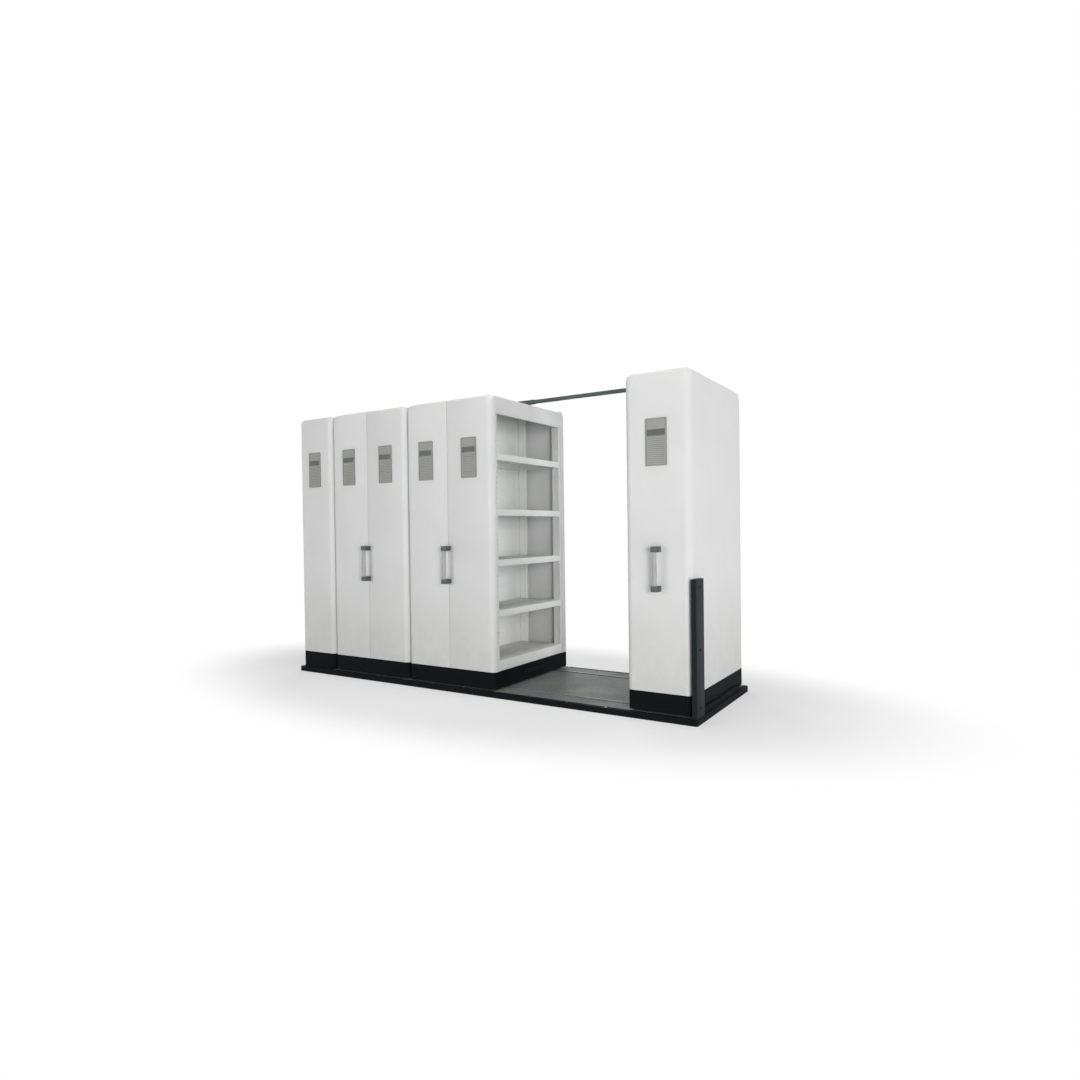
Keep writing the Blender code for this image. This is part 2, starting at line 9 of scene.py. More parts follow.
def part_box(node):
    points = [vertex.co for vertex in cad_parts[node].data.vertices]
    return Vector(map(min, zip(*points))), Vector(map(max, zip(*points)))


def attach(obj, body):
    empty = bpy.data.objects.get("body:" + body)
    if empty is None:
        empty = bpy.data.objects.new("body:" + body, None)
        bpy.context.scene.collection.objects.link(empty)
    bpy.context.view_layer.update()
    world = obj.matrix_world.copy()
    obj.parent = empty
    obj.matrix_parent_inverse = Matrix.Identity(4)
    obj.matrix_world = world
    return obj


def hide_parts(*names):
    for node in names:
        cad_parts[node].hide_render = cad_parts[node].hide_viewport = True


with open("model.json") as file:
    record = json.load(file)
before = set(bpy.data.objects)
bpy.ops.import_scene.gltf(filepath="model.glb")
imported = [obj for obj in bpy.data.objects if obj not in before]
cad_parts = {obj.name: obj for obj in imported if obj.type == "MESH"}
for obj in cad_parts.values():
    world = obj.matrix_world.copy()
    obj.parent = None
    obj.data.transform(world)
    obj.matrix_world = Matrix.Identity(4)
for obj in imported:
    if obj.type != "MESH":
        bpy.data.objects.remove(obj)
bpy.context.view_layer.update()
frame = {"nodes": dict(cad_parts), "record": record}  # bodies, nodes, joints, record
cadNodes = frame["nodes"]
print("frame:", len(cadNodes), "CAD nodes")

mm = 0.001
creaseAngle = math.radians(32)  # a sharper edge is shaded as a crease
weldDistance = 0.00001
sameDirection = math.cos(math.radians(1))
midBand = (0.3, 0.7)  # most values of a noise texture lie in it
scuffBand, fleckBand = (0.66, 0.78), (0.52, 0.66)  # only its peaks are above these
peelStrength, lineStrength, grainStrength, lineDepthMm = 0.35, 0.25, 0.4, 0.03


def linear(hexColour):  # an sRGB hex value as the linear colour that a shader takes
    parts = [int(hexColour[start:start + 2], 16) / 255 for start in (1, 3, 5)]
    turned = [p / 12.92 if p <= 0.04045 else ((p + 0.055) / 1.055) ** 2.4 for p in parts]
    return (*turned, 1.0)


def socketOf(source):  # a node stands for its first output
    return source.outputs[0] if isinstance(source, bpy.types.Node) else source


def addNode(tree, kind, settings=None, links=None):  # a number picks an input by its place
    made = tree.nodes.new(kind if "Node" in kind else "ShaderNode" + kind)
    for key, value in (settings or {}).items():
        if isinstance(key, str) and hasattr(made, key):
            setattr(made, key, value)
        else:
            made.inputs[key].default_value = value
    for key, source in (links or {}).items():
        tree.links.new(socketOf(source), made.inputs[key])
    return made


def span(fromLow=0.0, fromHigh=1.0, toLow=0.0, toHigh=1.0):  # the settings of a Map Range node
    return {"From Min": fromLow, "From Max": fromHigh, "To Min": toLow, "To Max": toHigh}


def newMaterial(name, shine=0.5):  # an empty material and its tree, shader and coordinates
    made = bpy.data.materials.new(name)
    made.use_nodes = True
    tree = made.node_tree
    tree.nodes.clear()
    shader = addNode(tree, "BsdfPrincipled", {"Specular IOR Level": shine})
    addNode(tree, "OutputMaterial", {}, {"Surface": shader})
    return made, tree, shader, addNode(tree, "TexCoord").outputs["Object"]


def closeMaterial(tree, shader, colour, dullness, height, strength, depthMm):
    bump = addNode(tree, "Bump", {"Strength": strength, "Distance": depthMm * mm}, {"Height": height})
    for label, source in (("Base Color", colour), ("Roughness", dullness), ("Normal", bump)):
        tree.links.new(socketOf(source), shader.inputs[label])


def grain(size):  # texture scale for a feature of that size in millimetres
    return 1 / (size * mm)


# Powder coat on sheet steel: an even, satin skin with fine orange peel. Handling polishes it in
# soft clouds, and dust and mop water grey it near the foot.
panelCoat = {
    "colour": "#D9DAD9", "dust": "#B3B3AF", "scuff": "#BFC0BE", "roughness": 0.62, "shine": 0.35,
    "cloudShare": 0.05, "cloudMm": 420, "peelMm": 4, "peelDepthMm": 0.05, "patchMm": 90,
    "dustFoot": 0.17, "dustTop": 0.95, "dustShare": 0.42, "scuffMm": 26, "scuffShare": 0.35,
}
# The same paint inside, its colour painted whiter than the panels' to stand in for light in the shaded
# compartments, with more scuffs where boxes slide over it
shelfCoatPaintedLighter = dict(panelCoat, colour="#E2E3E2", dust="#CFCFCC", cloudMm=260, scuffMm=18,
                 dustFoot=0.1, dustTop=0.5, dustShare=0.25, scuffShare=0.5)
# Near black and matt, greyed by shoes and by the dust of the floor
baseCoat = dict(panelCoat, colour="#0C1012", dust="#1C2123", scuff="#2A2F31", roughness=0.7,
                shine=0.06, cloudShare=0.25, cloudMm=180, peelMm=5, dustFoot=0.0, dustTop=0.14,
                dustShare=0.5, scuffMm=14, scuffShare=0.5)
# Slate, a little glossier than the bases, so that the post stands out from them
postCoat = dict(baseCoat, colour="#171C1E", dust="#1B2022", scuff="#30383A", roughness=0.6,
                shine=0.12)
# Enamel on tube: smoother and grey-green, with pale rubs where the tubes slide
tieCoat = dict(panelCoat, colour="#454F4C", dust="#666D69", scuff="#7C827F", roughness=0.46,
               cloudShare=0.15, cloudMm=150, dustFoot=0.0, dustTop=0.1, dustShare=0.0,
               scuffMm=20, scuffShare=0.6)
# Enamel on cast legs: dark grey and smooth, with small bright rubs from hands
legCoat = dict(panelCoat, colour="#505353", dust="#5C5F5E", scuff="#777A79", roughness=0.38,
               cloudShare=0.1, cloudMm=60, peelMm=2, dustFoot=0.0, dustTop=0.1, dustShare=0.0,
               scuffMm=6, scuffShare=0.5)


def powderCoat(name, look):
    made, tree, shader, where = newMaterial(name, look["shine"])
    cloudShare, dustShare, dull = look["cloudShare"], look["dustShare"], look["roughness"]
    cloud = addNode(tree, "TexNoise", {"Scale": grain(look["cloudMm"]), "Detail": 4.0,
                                       "Roughness": 0.55}, {"Vector": where})
    lighter = addNode(tree, "MapRange", span(*midBand, 1 - cloudShare, 1 + cloudShare * 0.3),
                      {"Value": cloud})
    paint = addNode(tree, "Mix", {"data_type": "RGBA", "blend_type": "MULTIPLY", 0: 1.0,
                                  6: linear(look["colour"])}, {7: lighter})

    height = addNode(tree, "SeparateXYZ", {}, {0: where})
    foot = addNode(tree, "MapRange", {"interpolation_type": "SMOOTHSTEP",
                                      **span(look["dustFoot"], look["dustTop"], 1.0, 0.0)},
                   {"Value": height.outputs["Z"]})
    uneven = addNode(tree, "TexNoise", {"Scale": grain(look["patchMm"]), "Detail": 5.0,
                                        "Roughness": 0.6}, {"Vector": where})
    patches = addNode(tree, "MapRange", span(0.25, 0.75, dustShare * 0.5, dustShare),
                      {"Value": uneven})
    dusty = addNode(tree, "Math", {"operation": "MULTIPLY"}, {0: foot, 1: patches})
    dusted = addNode(tree, "Mix", {"data_type": "RGBA", 7: linear(look["dust"])},
                     {0: dusty, 6: paint.outputs[2]})

    # scuffs run mostly level, as boxes and shoes leave them
    level = addNode(tree, "Mapping", {"Scale": (0.22, 0.22, 1.0)}, {"Vector": where})
    marks = addNode(tree, "TexNoise", {"Scale": grain(look["scuffMm"]), "Detail": 6.0,
                                       "Roughness": 0.62, "Distortion": 0.6}, {"Vector": level})
    scuff = addNode(tree, "MapRange", span(*scuffBand, 0.0, look["scuffShare"]), {"Value": marks})
    worn = addNode(tree, "Mix", {"data_type": "RGBA", 7: linear(look["scuff"])},
                   {0: scuff, 6: dusted.outputs[2]})
    gloss = addNode(tree, "MapRange", span(*midBand, dull - 0.06, dull + 0.07), {"Value": cloud})
    duller = addNode(tree, "Math", {"operation": "MULTIPLY_ADD", 1: 0.25}, {0: dusty, 2: gloss})
    peel = addNode(tree, "TexNoise", {"Scale": grain(look["peelMm"]), "Detail": 2.0,
                                      "Roughness": 0.5}, {"Vector": where})
    closeMaterial(tree, shader, worn.outputs[2], duller, peel, peelStrength, look["peelDepthMm"])
    return made


# Bare steel: fine lines along the way it was worked, dull between them
railSteel = {"colour": "#7A7C7A", "dark": "#5E605E", "roughness": 0.62, "alongScale": (0.02, 1, 1),
             "lineMm": 3.0}  # drawn bar: long streaks, dulled by wheels and feet
wheelSteel = {"colour": "#A3A4A2", "dark": "#7D7E7C", "roughness": 0.33,
              "alongScale": (0.03, 1, 0.03), "lineMm": 1.6}  # turned: bright rings round the tread
zincPlate = {"colour": "#B2B4B1", "dark": "#8D908E", "roughness": 0.34, "alongScale": (1, 1, 1),
             "lineMm": 4.0}  # plated heads: a clean, cloudy silver


def workedSteel(name, look):
    made, tree, shader, where = newMaterial(name)
    shader.inputs["Metallic"].default_value = 1.0
    along = addNode(tree, "Mapping", {"Scale": look["alongScale"]}, {"Vector": where})
    lines = addNode(tree, "TexNoise", {"Scale": grain(look["lineMm"]), "Detail": 3.0},
                    {"Vector": along})
    spread = addNode(tree, "MapRange", span(*midBand), {"Value": lines})
    tone = addNode(tree, "Mix", {"data_type": "RGBA", 6: linear(look["dark"]),
                                 7: linear(look["colour"])}, {0: spread})
    dull = addNode(tree, "MapRange", span(0.0, 1.0, look["roughness"] + 0.08,
                                          look["roughness"] - 0.06), {"Value": spread})
    closeMaterial(tree, shader, tone.outputs[2], dull, lines, lineStrength, lineDepthMm)
    return made


# Plastics, rubber, floor covering and card: a moulded or rolled grain, flecks and a soft wear
vinylLook = {"colour": "#747775", "fleck": "#5E615F", "light": "#8A8C8A", "roughness": 0.7,
             "shine": 0.12, "fleckMm": 14, "cloudMm": 300, "grainMm": 6,
             "grainDepthMm": 0.12}  # rolled floor vinyl, flecked like stone; its flecks drawn coarse
rubberLook = {"colour": "#141515", "fleck": "#0F1010", "light": "#1C1D1D", "roughness": 0.85,
              "shine": 0.1, "fleckMm": 8, "cloudMm": 60, "grainMm": 2,
              "grainDepthMm": 0.06}  # moulded, dead matt
gripLook = {"colour": "#A9AAA9", "fleck": "#A0A1A0", "light": "#B3B4B3", "roughness": 0.75,
            "shine": 0.3, "fleckMm": 5, "cloudMm": 80, "grainMm": 1.5,
            "grainDepthMm": 0.04}  # moulded nylon, a fine spark grain that takes the gloss away
holderLook = {"colour": "#8A8B8A", "fleck": "#828382", "light": "#949594", "roughness": 0.5,
              "shine": 0.3, "fleckMm": 4, "cloudMm": 70, "grainMm": 1.2,
              "grainDepthMm": 0.03}  # moulded ABS, an even half gloss
barLook = dict(holderLook, colour="#5C5E5D", fleck="#525453", light="#686A69")  # darker ABS
cardLook = {"colour": "#9B9B99", "fleck": "#929290", "light": "#A5A5A3", "roughness": 0.72,
            "shine": 0.2, "fleckMm": 3, "cloudMm": 90, "grainMm": 0.8,
            "grainDepthMm": 0.02}  # uncoated card with a faint fibre
inkLook = dict(cardLook, colour="#6E6E6C", fleck="#666664", light="#767674")  # printed lines
plugLook = dict(rubberLook, colour="#242726", roughness=0.55)  # polyethylene, a little waxy


def grainedSkin(name, look):
    made, tree, shader, where = newMaterial(name, look["shine"])
    dull = look["roughness"]
    cloud = addNode(tree, "TexNoise", {"Scale": grain(look["cloudMm"]), "Detail": 4.0,
                                       "Roughness": 0.6}, {"Vector": where})
    broad = addNode(tree, "MapRange", span(0.35, 0.7, 0.0, 0.6), {"Value": cloud})
    base = addNode(tree, "Mix", {"data_type": "RGBA", 6: linear(look["colour"]),
                                 7: linear(look["light"])}, {0: broad})
    flecks = addNode(tree, "TexNoise", {"Scale": grain(look["fleckMm"]), "Detail": 1.0},
                     {"Vector": where})
    few = addNode(tree, "MapRange", span(*fleckBand, 0.0, 0.7), {"Value": flecks})
    flecked = addNode(tree, "Mix", {"data_type": "RGBA", 7: linear(look["fleck"])},
                      {0: few, 6: base.outputs[2]})
    gloss = addNode(tree, "MapRange", span(*midBand, dull + 0.06, dull - 0.08), {"Value": cloud})
    skin = addNode(tree, "TexNoise", {"Scale": grain(look["grainMm"]), "Detail": 2.0},
                   {"Vector": where})
    closeMaterial(tree, shader, flecked.outputs[2], gloss, skin, grainStrength,
                  look["grainDepthMm"])
    return made


finish = {
    "panel": powderCoat("panel_powder_coat", panelCoat),
    "shelf": powderCoat("shelf_powder_coat_painted_lighter", shelfCoatPaintedLighter),
    "base": powderCoat("base_powder_coat_black", baseCoat),
    "tie": powderCoat("tie_enamel_grey_green", tieCoat),
    "post": powderCoat("post_powder_coat_slate", postCoat),
    "leg": powderCoat("handle_leg_enamel", legCoat),
    "rail": workedSteel("rail_drawn_steel", railSteel),
    "wheel": workedSteel("wheel_turned_steel", wheelSteel),
    "zinc": workedSteel("screw_zinc_plate", zincPlate),
    "vinyl": grainedSkin("deck_rolled_vinyl", vinylLook),
    "rubber": grainedSkin("buffer_moulded_rubber", rubberLook),
    "grip": grainedSkin("grip_moulded_nylon", gripLook),
    "holder": grainedSkin("holder_moulded_abs", holderLook),
    "bar": grainedSkin("holder_bar_moulded_abs", barLook),
    "card": grainedSkin("card_paper", cardLook),
    "ink": grainedSkin("card_ruling", inkLook),
    "plug": grainedSkin("tube_plug_polyethylene", plugLook),
}
print("materials:", len(finish))


def link(name, mesh, material):
    made = bpy.data.objects.new(name, mesh)
    bpy.context.scene.collection.objects.link(made)
    if material:
        mesh.materials.append(material)
    return made


def thicken(made, thickness, even=True):  # a wall that grows inwards from the drawn faces
    sheet = made.modifiers.new("sheet", "SOLIDIFY")
    sheet.thickness, sheet.offset, sheet.use_even_offset = thickness, -1, even


def settle(made):  # what the modifiers make becomes the piece's plain mesh
    graph = bpy.context.evaluated_depsgraph_get()
    plain = bpy.data.meshes.new_from_object(made.evaluated_get(graph))
    made.modifiers.clear()
    made.data = plain
    plain.polygons.foreach_set("use_smooth", [True] * len(plain.polygons))
    plain.set_sharp_from_angle(angle=creaseAngle)
    return made


def fromBmesh(name, bm, material, thickness=0.0):
    mesh = bpy.data.meshes.new(name)
    bm.to_mesh(mesh)
    bm.free()
    made = link(name, mesh, material)
    if thickness:
        thicken(made, thickness)
    return settle(made)


def join(name, pieces):  # several plain pieces as one, their materials kept
    bm = bmesh.new()
    materials = []
    for piece in pieces:
        start = len(bm.faces)
        bm.from_mesh(piece.data)
        bm.faces.ensure_lookup_table()
        for face in bm.faces[start:]:
            used = piece.data.materials[face.material_index]
            if used not in materials:
                materials.append(used)
            face.material_index = materials.index(used)
        bpy.data.objects.remove(piece, do_unlink=True)
    mesh = bpy.data.meshes.new(name)
    bm.to_mesh(mesh)
    bm.free()
    for material in materials:
        mesh.materials.append(material)
    return link(name, mesh, None)


def dress(piece, body, slot, *nodes):
    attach(piece, body)
    if nodes:
        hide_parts(*nodes)


def liesOn(edge, axis, value):
    return all(abs(v.co[axis] - value) < weldDistance for v in edge.verts)


def ringAt(bm, radius, z, sides):
    angles = [2 * math.pi * k / sides for k in range(sides)]
    return [bm.verts.new((radius * math.cos(a), radius * math.sin(a), z)) for a in angles]


def bridge(bm, rings, gaps=()):  # faces between closed rings, except at the gaps (ring, point)
    for level, (low, up) in enumerate(zip(rings, rings[1:])):
        for k in range(max(len(low), len(up))):
            if (level, k) not in gaps:
                corners = [low[k % len(low)], low[(k + 1) % len(low)],
                           up[(k + 1) % len(up)], up[k % len(up)]]
                bm.faces.new(list(dict.fromkeys(corners)))


def foldedShell(name, low, high, openSide, stages, sheet, returnWidth, material):
    # A box of sheet metal, open towards openSide. Each stage picks edges and rounds them.
    low, high = Vector(low), Vector(high)
    half = (high - low) / 2
    bm = bmesh.new()
    corners = bmesh.ops.create_cube(bm, size=1)["verts"]
    bmesh.ops.scale(bm, vec=high - low, verts=corners)
    for picks, radius, steps in stages:
        bmesh.ops.bevel(bm, geom=[e for e in bm.edges if picks(e, half)], offset=radius,
                        segments=steps, profile=0.5, affect="EDGES")
    bm.normal_update()
    mouth = [f for f in bm.faces if f.normal.dot(Vector(openSide)) > sameDirection]
    if returnWidth:
        bmesh.ops.inset_region(bm, faces=mouth, thickness=returnWidth, use_even_offset=True)
    bmesh.ops.delete(bm, geom=mouth, context="FACES_ONLY")
    bmesh.ops.translate(bm, vec=(low + high) / 2, verts=bm.verts)
    return fromBmesh(name, bm, material, sheet)


def quarterArc(steps):  # shares of the way along and across a quarter turn
    angles = [math.radians(90) * k / steps for k in range(steps + 1)]
    return [(math.sin(a), 1 - math.cos(a)) for a in angles]


def roundedRing(low, high, radius, steps=4):  # a rectangle with round corners, anticlockwise
    left, foot, right, top = low[0] + radius, low[1] + radius, high[0] - radius, high[1] - radius
    ring = []
    for turn, (u, v) in enumerate(((right, top), (left, top), (left, foot), (right, foot))):
        for k in range(steps + 1):
            angle = math.radians(90 * (turn + k / steps))
            ring.append((u + radius * math.cos(angle), v + radius * math.sin(angle)))
    return ring


def hoodOutline(left, right, foot, top, corners, steps):  # a corner is (across, down), or None
    points = [(left, foot)]
    for edge, side, corner in ((left, -1, corners[0]), (right, 1, corners[1])):
        if not corner:
            points.append((edge, top))
            continue
        arc = [(edge - side * corner[0] * over, top - corner[1] * (1 - up))
               for up, over in quarterArc(steps)]
        points += reversed(arc) if side > 0 else arc
    return points + [(right, foot)]


def hood(name, low, high, face, bends, corners, form, material):
    # A panel whose face, at -Y or +Y, turns back in a bend at its left, right and top, with a
    # narrow return round its open side. Its foot and its square sides have the fold of a press.
    leftBend, rightBend, topBend, depthBend = bends
    fold = form["fold"]
    nearFace, openSide = (low.y, high.y) if face < 0 else (high.y, low.y)
    # (y, share of the bends, inset all round, tuck of the square sides)
    loops = [(openSide, 0, form["return"], 0), (openSide, 0, 0, 0)]
    for up, over in quarterArc(form["bendSteps"]):
        inwards = depthBend * (1 - up)
        tuck = 0 if inwards > fold else fold - math.sqrt(max(0, fold ** 2 - (fold - inwards) ** 2))
        loops.append((nearFace - face * inwards, over, 0, tuck))
    bm = bmesh.new()
    rows = []
    for y, share, inset, tuck in loops:
        left = low.x + (leftBend * share if leftBend else tuck) + inset
        right = high.x - (rightBend * share if rightBend else tuck) - inset
        outline = hoodOutline(left, right, low.z + inset + tuck, high.z - topBend * share - inset,
                              corners, form["cornerSteps"])
        rows.append([bm.verts.new((x, y, z)) for x, z in outline])
    bridge(bm, rows)
    cap = bm.faces.new(rows[-1])
    bm.normal_update()
    if cap.normal.y * face < 0:
        bmesh.ops.reverse_faces(bm, faces=bm.faces)
    return fromBmesh(name, bm, material, form["sheet"])


def roundedLine(points, radius, steps):  # an open line of corners, each turned in an arc
    done = [Vector(points[0])]
    for before, corner, after in zip(points, points[1:], points[2:]):
        before, corner, after = Vector(before), Vector(corner), Vector(after)
        toBack, toFront = (before - corner).normalized(), (after - corner).normalized()
        turn = toBack.angle(toFront)
        reach = radius / math.tan(turn / 2)
        centre = corner + (toBack + toFront).normalized() * (radius / math.sin(turn / 2))
        start, end = corner + toBack * reach - centre, corner + toFront * reach - centre
        for step in range(steps + 1):
            done.append(centre + start.slerp(end, step / steps, start).normalized() * radius)
    return done + [Vector(points[-1])]


def foldedStrip(name, points, radius, steps, y0, y1, sheet, material):
    # A profile in X and Z, drawn with its outside on the left of travel towards +Y
    line = roundedLine(points, radius, steps)
    bm = bmesh.new()
    near = [bm.verts.new((p.x, y0, p.y)) for p in line]
    far = [bm.verts.new((p.x, y1, p.y)) for p in line]
    for a, b, c, d in zip(near, near[1:], far[1:], far):
        bm.faces.new((a, d, c, b))
    return fromBmesh(name, bm, material, sheet)


def prism(name, outline, axis, start, end, material, bevel=0.0, steps=2):
    # A flat outline pushed along an axis; the outline's two numbers are the other two axes in order
    def at(u, v, w):
        return {"x": (w, u, v), "y": (u, w, v), "z": (u, v, w)}[axis]

    bm = bmesh.new()
    face = bm.faces.new([bm.verts.new(at(u, v, start)) for u, v in outline])
    moved = bmesh.ops.extrude_face_region(bm, geom=[face])["geom"]
    bmesh.ops.translate(bm, vec=Vector(at(0, 0, end - start)),
                        verts=[g for g in moved if isinstance(g, bmesh.types.BMVert)])
    bmesh.ops.recalc_face_normals(bm, faces=bm.faces)
    if bevel:
        sharp = [e for e in bm.edges if e.calc_face_angle(0) > creaseAngle]
        bmesh.ops.bevel(bm, geom=sharp, offset=bevel, segments=steps, profile=0.5, affect="EDGES")
    return fromBmesh(name, bm, material)


def block(name, low, high, material, bevel=0.001, steps=2):
    outline = [(low[0], low[1]), (high[0], low[1]), (high[0], high[1]), (low[0], high[1])]
    return prism(name, outline, "z", low[2], high[2], material, bevel, steps)


def lathe(name, profile, centre, axis, material, steps=48):
    # A profile of (radius, along) turned about an axis through centre
    bm = bmesh.new()
    rings = [[bm.verts.new((0, 0, along))] if radius < weldDistance
             else ringAt(bm, radius, along, steps) for radius, along in profile]
    bridge(bm, rings)
    bmesh.ops.recalc_face_normals(bm, faces=bm.faces)
    turn = Matrix() if axis == "z" else Matrix.Rotation(math.radians(-90), 4, "X")
    bmesh.ops.transform(bm, matrix=Matrix.Translation(centre) @ turn, verts=bm.verts)
    return fromBmesh(name, bm, material)


def cutFrom(piece, cutter):
    step = piece.modifiers.new("cut", "BOOLEAN")
    step.operation = "DIFFERENCE"
    step.solver = "EXACT"
    step.object = cutter
    settle(piece)
    bpy.data.objects.remove(cutter, do_unlink=True)


def newTree(name, inputs):  # a tree with named inputs; gives it, its input node and its output node
    tree = bpy.data.node_groups.new(name, "GeometryNodeTree")
    for label, kind in [("Geometry", "Geometry")] + inputs:
        tree.interface.new_socket(label, in_out="INPUT", socket_type="NodeSocket" + kind)
    tree.interface.new_socket("Geometry", in_out="OUTPUT", socket_type="NodeSocketGeometry")
    return tree, addNode(tree, "NodeGroupInput"), addNode(tree, "NodeGroupOutput")


def runTree(made, tree, values):  # sets each input by its identifier
    step = made.modifiers.new(tree.name, "NODES")
    step.node_group = tree
    for item in tree.interface.items_tree:
        if item.item_type == "SOCKET" and item.in_out == "INPUT" and item.name in values:
            step[item.identifier] = values[item.name]


def closeTree(tree, geometry, inputs, output, weld=False):
    last = addNode(tree, "GeometryNodeRealizeInstances", {}, {0: geometry})
    if weld:
        last = addNode(tree, "GeometryNodeMergeByDistance", {"Distance": weldDistance},
                       {"Geometry": last})
    painted = addNode(tree, "GeometryNodeSetMaterial", {},
                      {"Geometry": last, "Material": inputs.outputs["Material"]})
    tree.links.new(painted.outputs[0], output.inputs[0])


def makeHeadTree():  # a head on each point of the mesh, its Z to the point's "facing", its Y up
    tree, inputs, output = newTree("heads_on_points", [("Head", "Object"), ("Spin", "Float"),
                                                       ("Material", "Material")])
    head = addNode(tree, "GeometryNodeObjectInfo", {}, {"Object": inputs.outputs["Head"]})
    facing = addNode(tree, "GeometryNodeInputNamedAttribute",
                     {"data_type": "FLOAT_VECTOR", "Name": "facing"})
    turn = addNode(tree, "FunctionNodeAlignRotationToVector", {"axis": "Z"}, {"Vector": facing})
    upright = addNode(tree, "FunctionNodeAlignRotationToVector",
                      {"axis": "Y", "pivot_axis": "Z", "Vector": (0, 0, 1)}, {"Rotation": turn})
    spin = addNode(tree, "FunctionNodeRandomValue", {"data_type": "FLOAT", 2: 0.0, "Seed": 7},
                   {3: inputs.outputs["Spin"]})
    own = addNode(tree, "CombineXYZ", {}, {2: spin.outputs[1]})
    spun = addNode(tree, "FunctionNodeRotateRotation", {"rotation_space": "LOCAL"},
                   {0: upright, 1: own})
    placed = addNode(tree, "GeometryNodeInstanceOnPoints", {},
                     {"Points": inputs.outputs["Geometry"], "Instance": head.outputs["Geometry"],
                      "Rotation": spun})
    closeTree(tree, placed, inputs, output)
    return tree


def makeStackTree():  # copies of one object, one above the other, welded where they meet
    tree, inputs, output = newTree("stacked_tiles", [("Tile", "Object"), ("Count", "Int"),
                                                     ("Step", "Vector"), ("Material", "Material")])
    tile = addNode(tree, "GeometryNodeObjectInfo", {}, {"Object": inputs.outputs["Tile"]})
    line = addNode(tree, "GeometryNodeMeshLine", {"mode": "OFFSET"},
                   {"Count": inputs.outputs["Count"], "Offset": inputs.outputs["Step"]})
    placed = addNode(tree, "GeometryNodeInstanceOnPoints", {},
                     {"Points": line, "Instance": tile.outputs["Geometry"]})
    closeTree(tree, placed, inputs, output, weld=True)
    return tree


headTree = makeHeadTree()
stackTree = makeStackTree()


def stackOf(name, tile, count, step, material, thickness=0.0):
    made = link(name, bpy.data.meshes.new(name), None)
    runTree(made, stackTree, {"Tile": tile, "Count": count, "Step": step, "Material": material})
    if thickness:
        thicken(made, thickness, even=False)
    return settle(made)


def headsAt(name, head, spots, material, spin):  # spots are (place, facing)
    mesh = bpy.data.meshes.new(name)
    mesh.from_pydata([place for place, _ in spots], [], [])
    facing = mesh.attributes.new("facing", "FLOAT_VECTOR", "POINT")
    facing.data.foreach_set("vector", [c for _, way in spots for c in way])
    made = link(name, mesh, None)
    runTree(made, headTree, {"Head": head, "Spin": spin, "Material": material})
    return settle(made)


# Head shapes, flat side at Z 0 and top towards +Z. A profile is shares of the radius and the
# height; the socket's foot is shares of the socket's radius and the height.
roundShares = ((1, 0), (1, 0.45), (0.86, 0.85), (0.6, 1))
hexShares = ((1.15, 0), (1.15, 0.12), (1, 0.14), (1, 0.92), (0.9, 1))
socketFootShares = (0.8, 0.35)
screwHeads = {
    "pan": {"radius": 0.0048, "height": 0.0026, "profile": roundShares, "sides": 20,
            "socket": 0.0022},
    "flush": {"radius": 0.0050, "height": 0.0006, "profile": roundShares, "sides": 20,
              "socket": 0.0022},
    "hex": {"radius": 0.0075, "height": 0.0053, "profile": hexShares, "sides": 6, "socket": 0.0},
}
clipForm = {"width": 0.032, "height": 0.034, "sheet": 0.0016, "seat": 0.014, "bevelShare": 0.3}


def makeHead(kind):
    shape = screwHeads[kind]
    sides, height, socket = shape["sides"], shape["height"], shape["socket"]
    levels = [(shape["radius"] * across, height * up) for across, up in shape["profile"]]
    if socket:
        levels += [(socket, height), (socket * socketFootShares[0], height * socketFootShares[1])]
    bm = bmesh.new()
    rings = [ringAt(bm, radius, z, sides) for radius, z in levels]
    bridge(bm, rings)
    bm.faces.new(rings[-1])
    bm.faces.new(list(reversed(rings[0])))
    bmesh.ops.recalc_face_normals(bm, faces=bm.faces)
    return fromBmesh("head_" + kind, bm, None)


def makeClip():  # a shelf clip: a plate below a seat, flat on a post's flank
    form = clipForm
    t, down, seat, half = form["sheet"], form["height"], form["seat"], form["width"] / 2
    outline = [(0, 0), (-down, 0), (-down, t), (-t, t), (-t, seat), (0, seat)]
    return prism("clip", outline, "x", -half, half, None, t * form["bevelShare"], 1)


heads = {kind: makeHead(kind) for kind in screwHeads}
heads["clip"] = makeClip()
headSpin = {"pan": math.pi, "flush": math.pi, "hex": math.pi, "clip": 0.0}
screwSpots = {}  # (body, kind, finish) to the list of places


def spread(start, end, inset, pitch=0.0, count=0):  # even places, about a pitch apart or so many
    reach = end - start - inset * 2
    count = count or round(reach / pitch) + 1
    return [start + inset + reach * k / (count - 1) for k in range(count)]


def screw(body, kind, paint, place, facing):
    screwSpots.setdefault((body, kind, paint), []).append((tuple(place), tuple(facing)))


# The racks from left to right. A cover closes the side -1 or 1; a frame opens to -1 or 1.
units = [
    {"body": "platform", "tag": "static", "cover": -1, "fronts": ["static_front_panel"],
     "racks": [("static_rack", 1)]},
    {"body": "rack_a", "tag": "a", "cover": 0,
     "fronts": ["a_front_panel_left", "a_front_panel_right"],
     "racks": [("a_rack_left", -1), ("a_rack_right", 1)]},
    {"body": "rack_b", "tag": "b", "cover": 0,
     "fronts": ["b_front_panel_left", "b_front_panel_right"],
     "racks": [("b_rack_left", -1), ("b_rack_right", 1)]},
    {"body": "rack_c", "tag": "c", "cover": 1, "fronts": ["c_front_panel"],
     "racks": [("c_rack", -1)]},
]

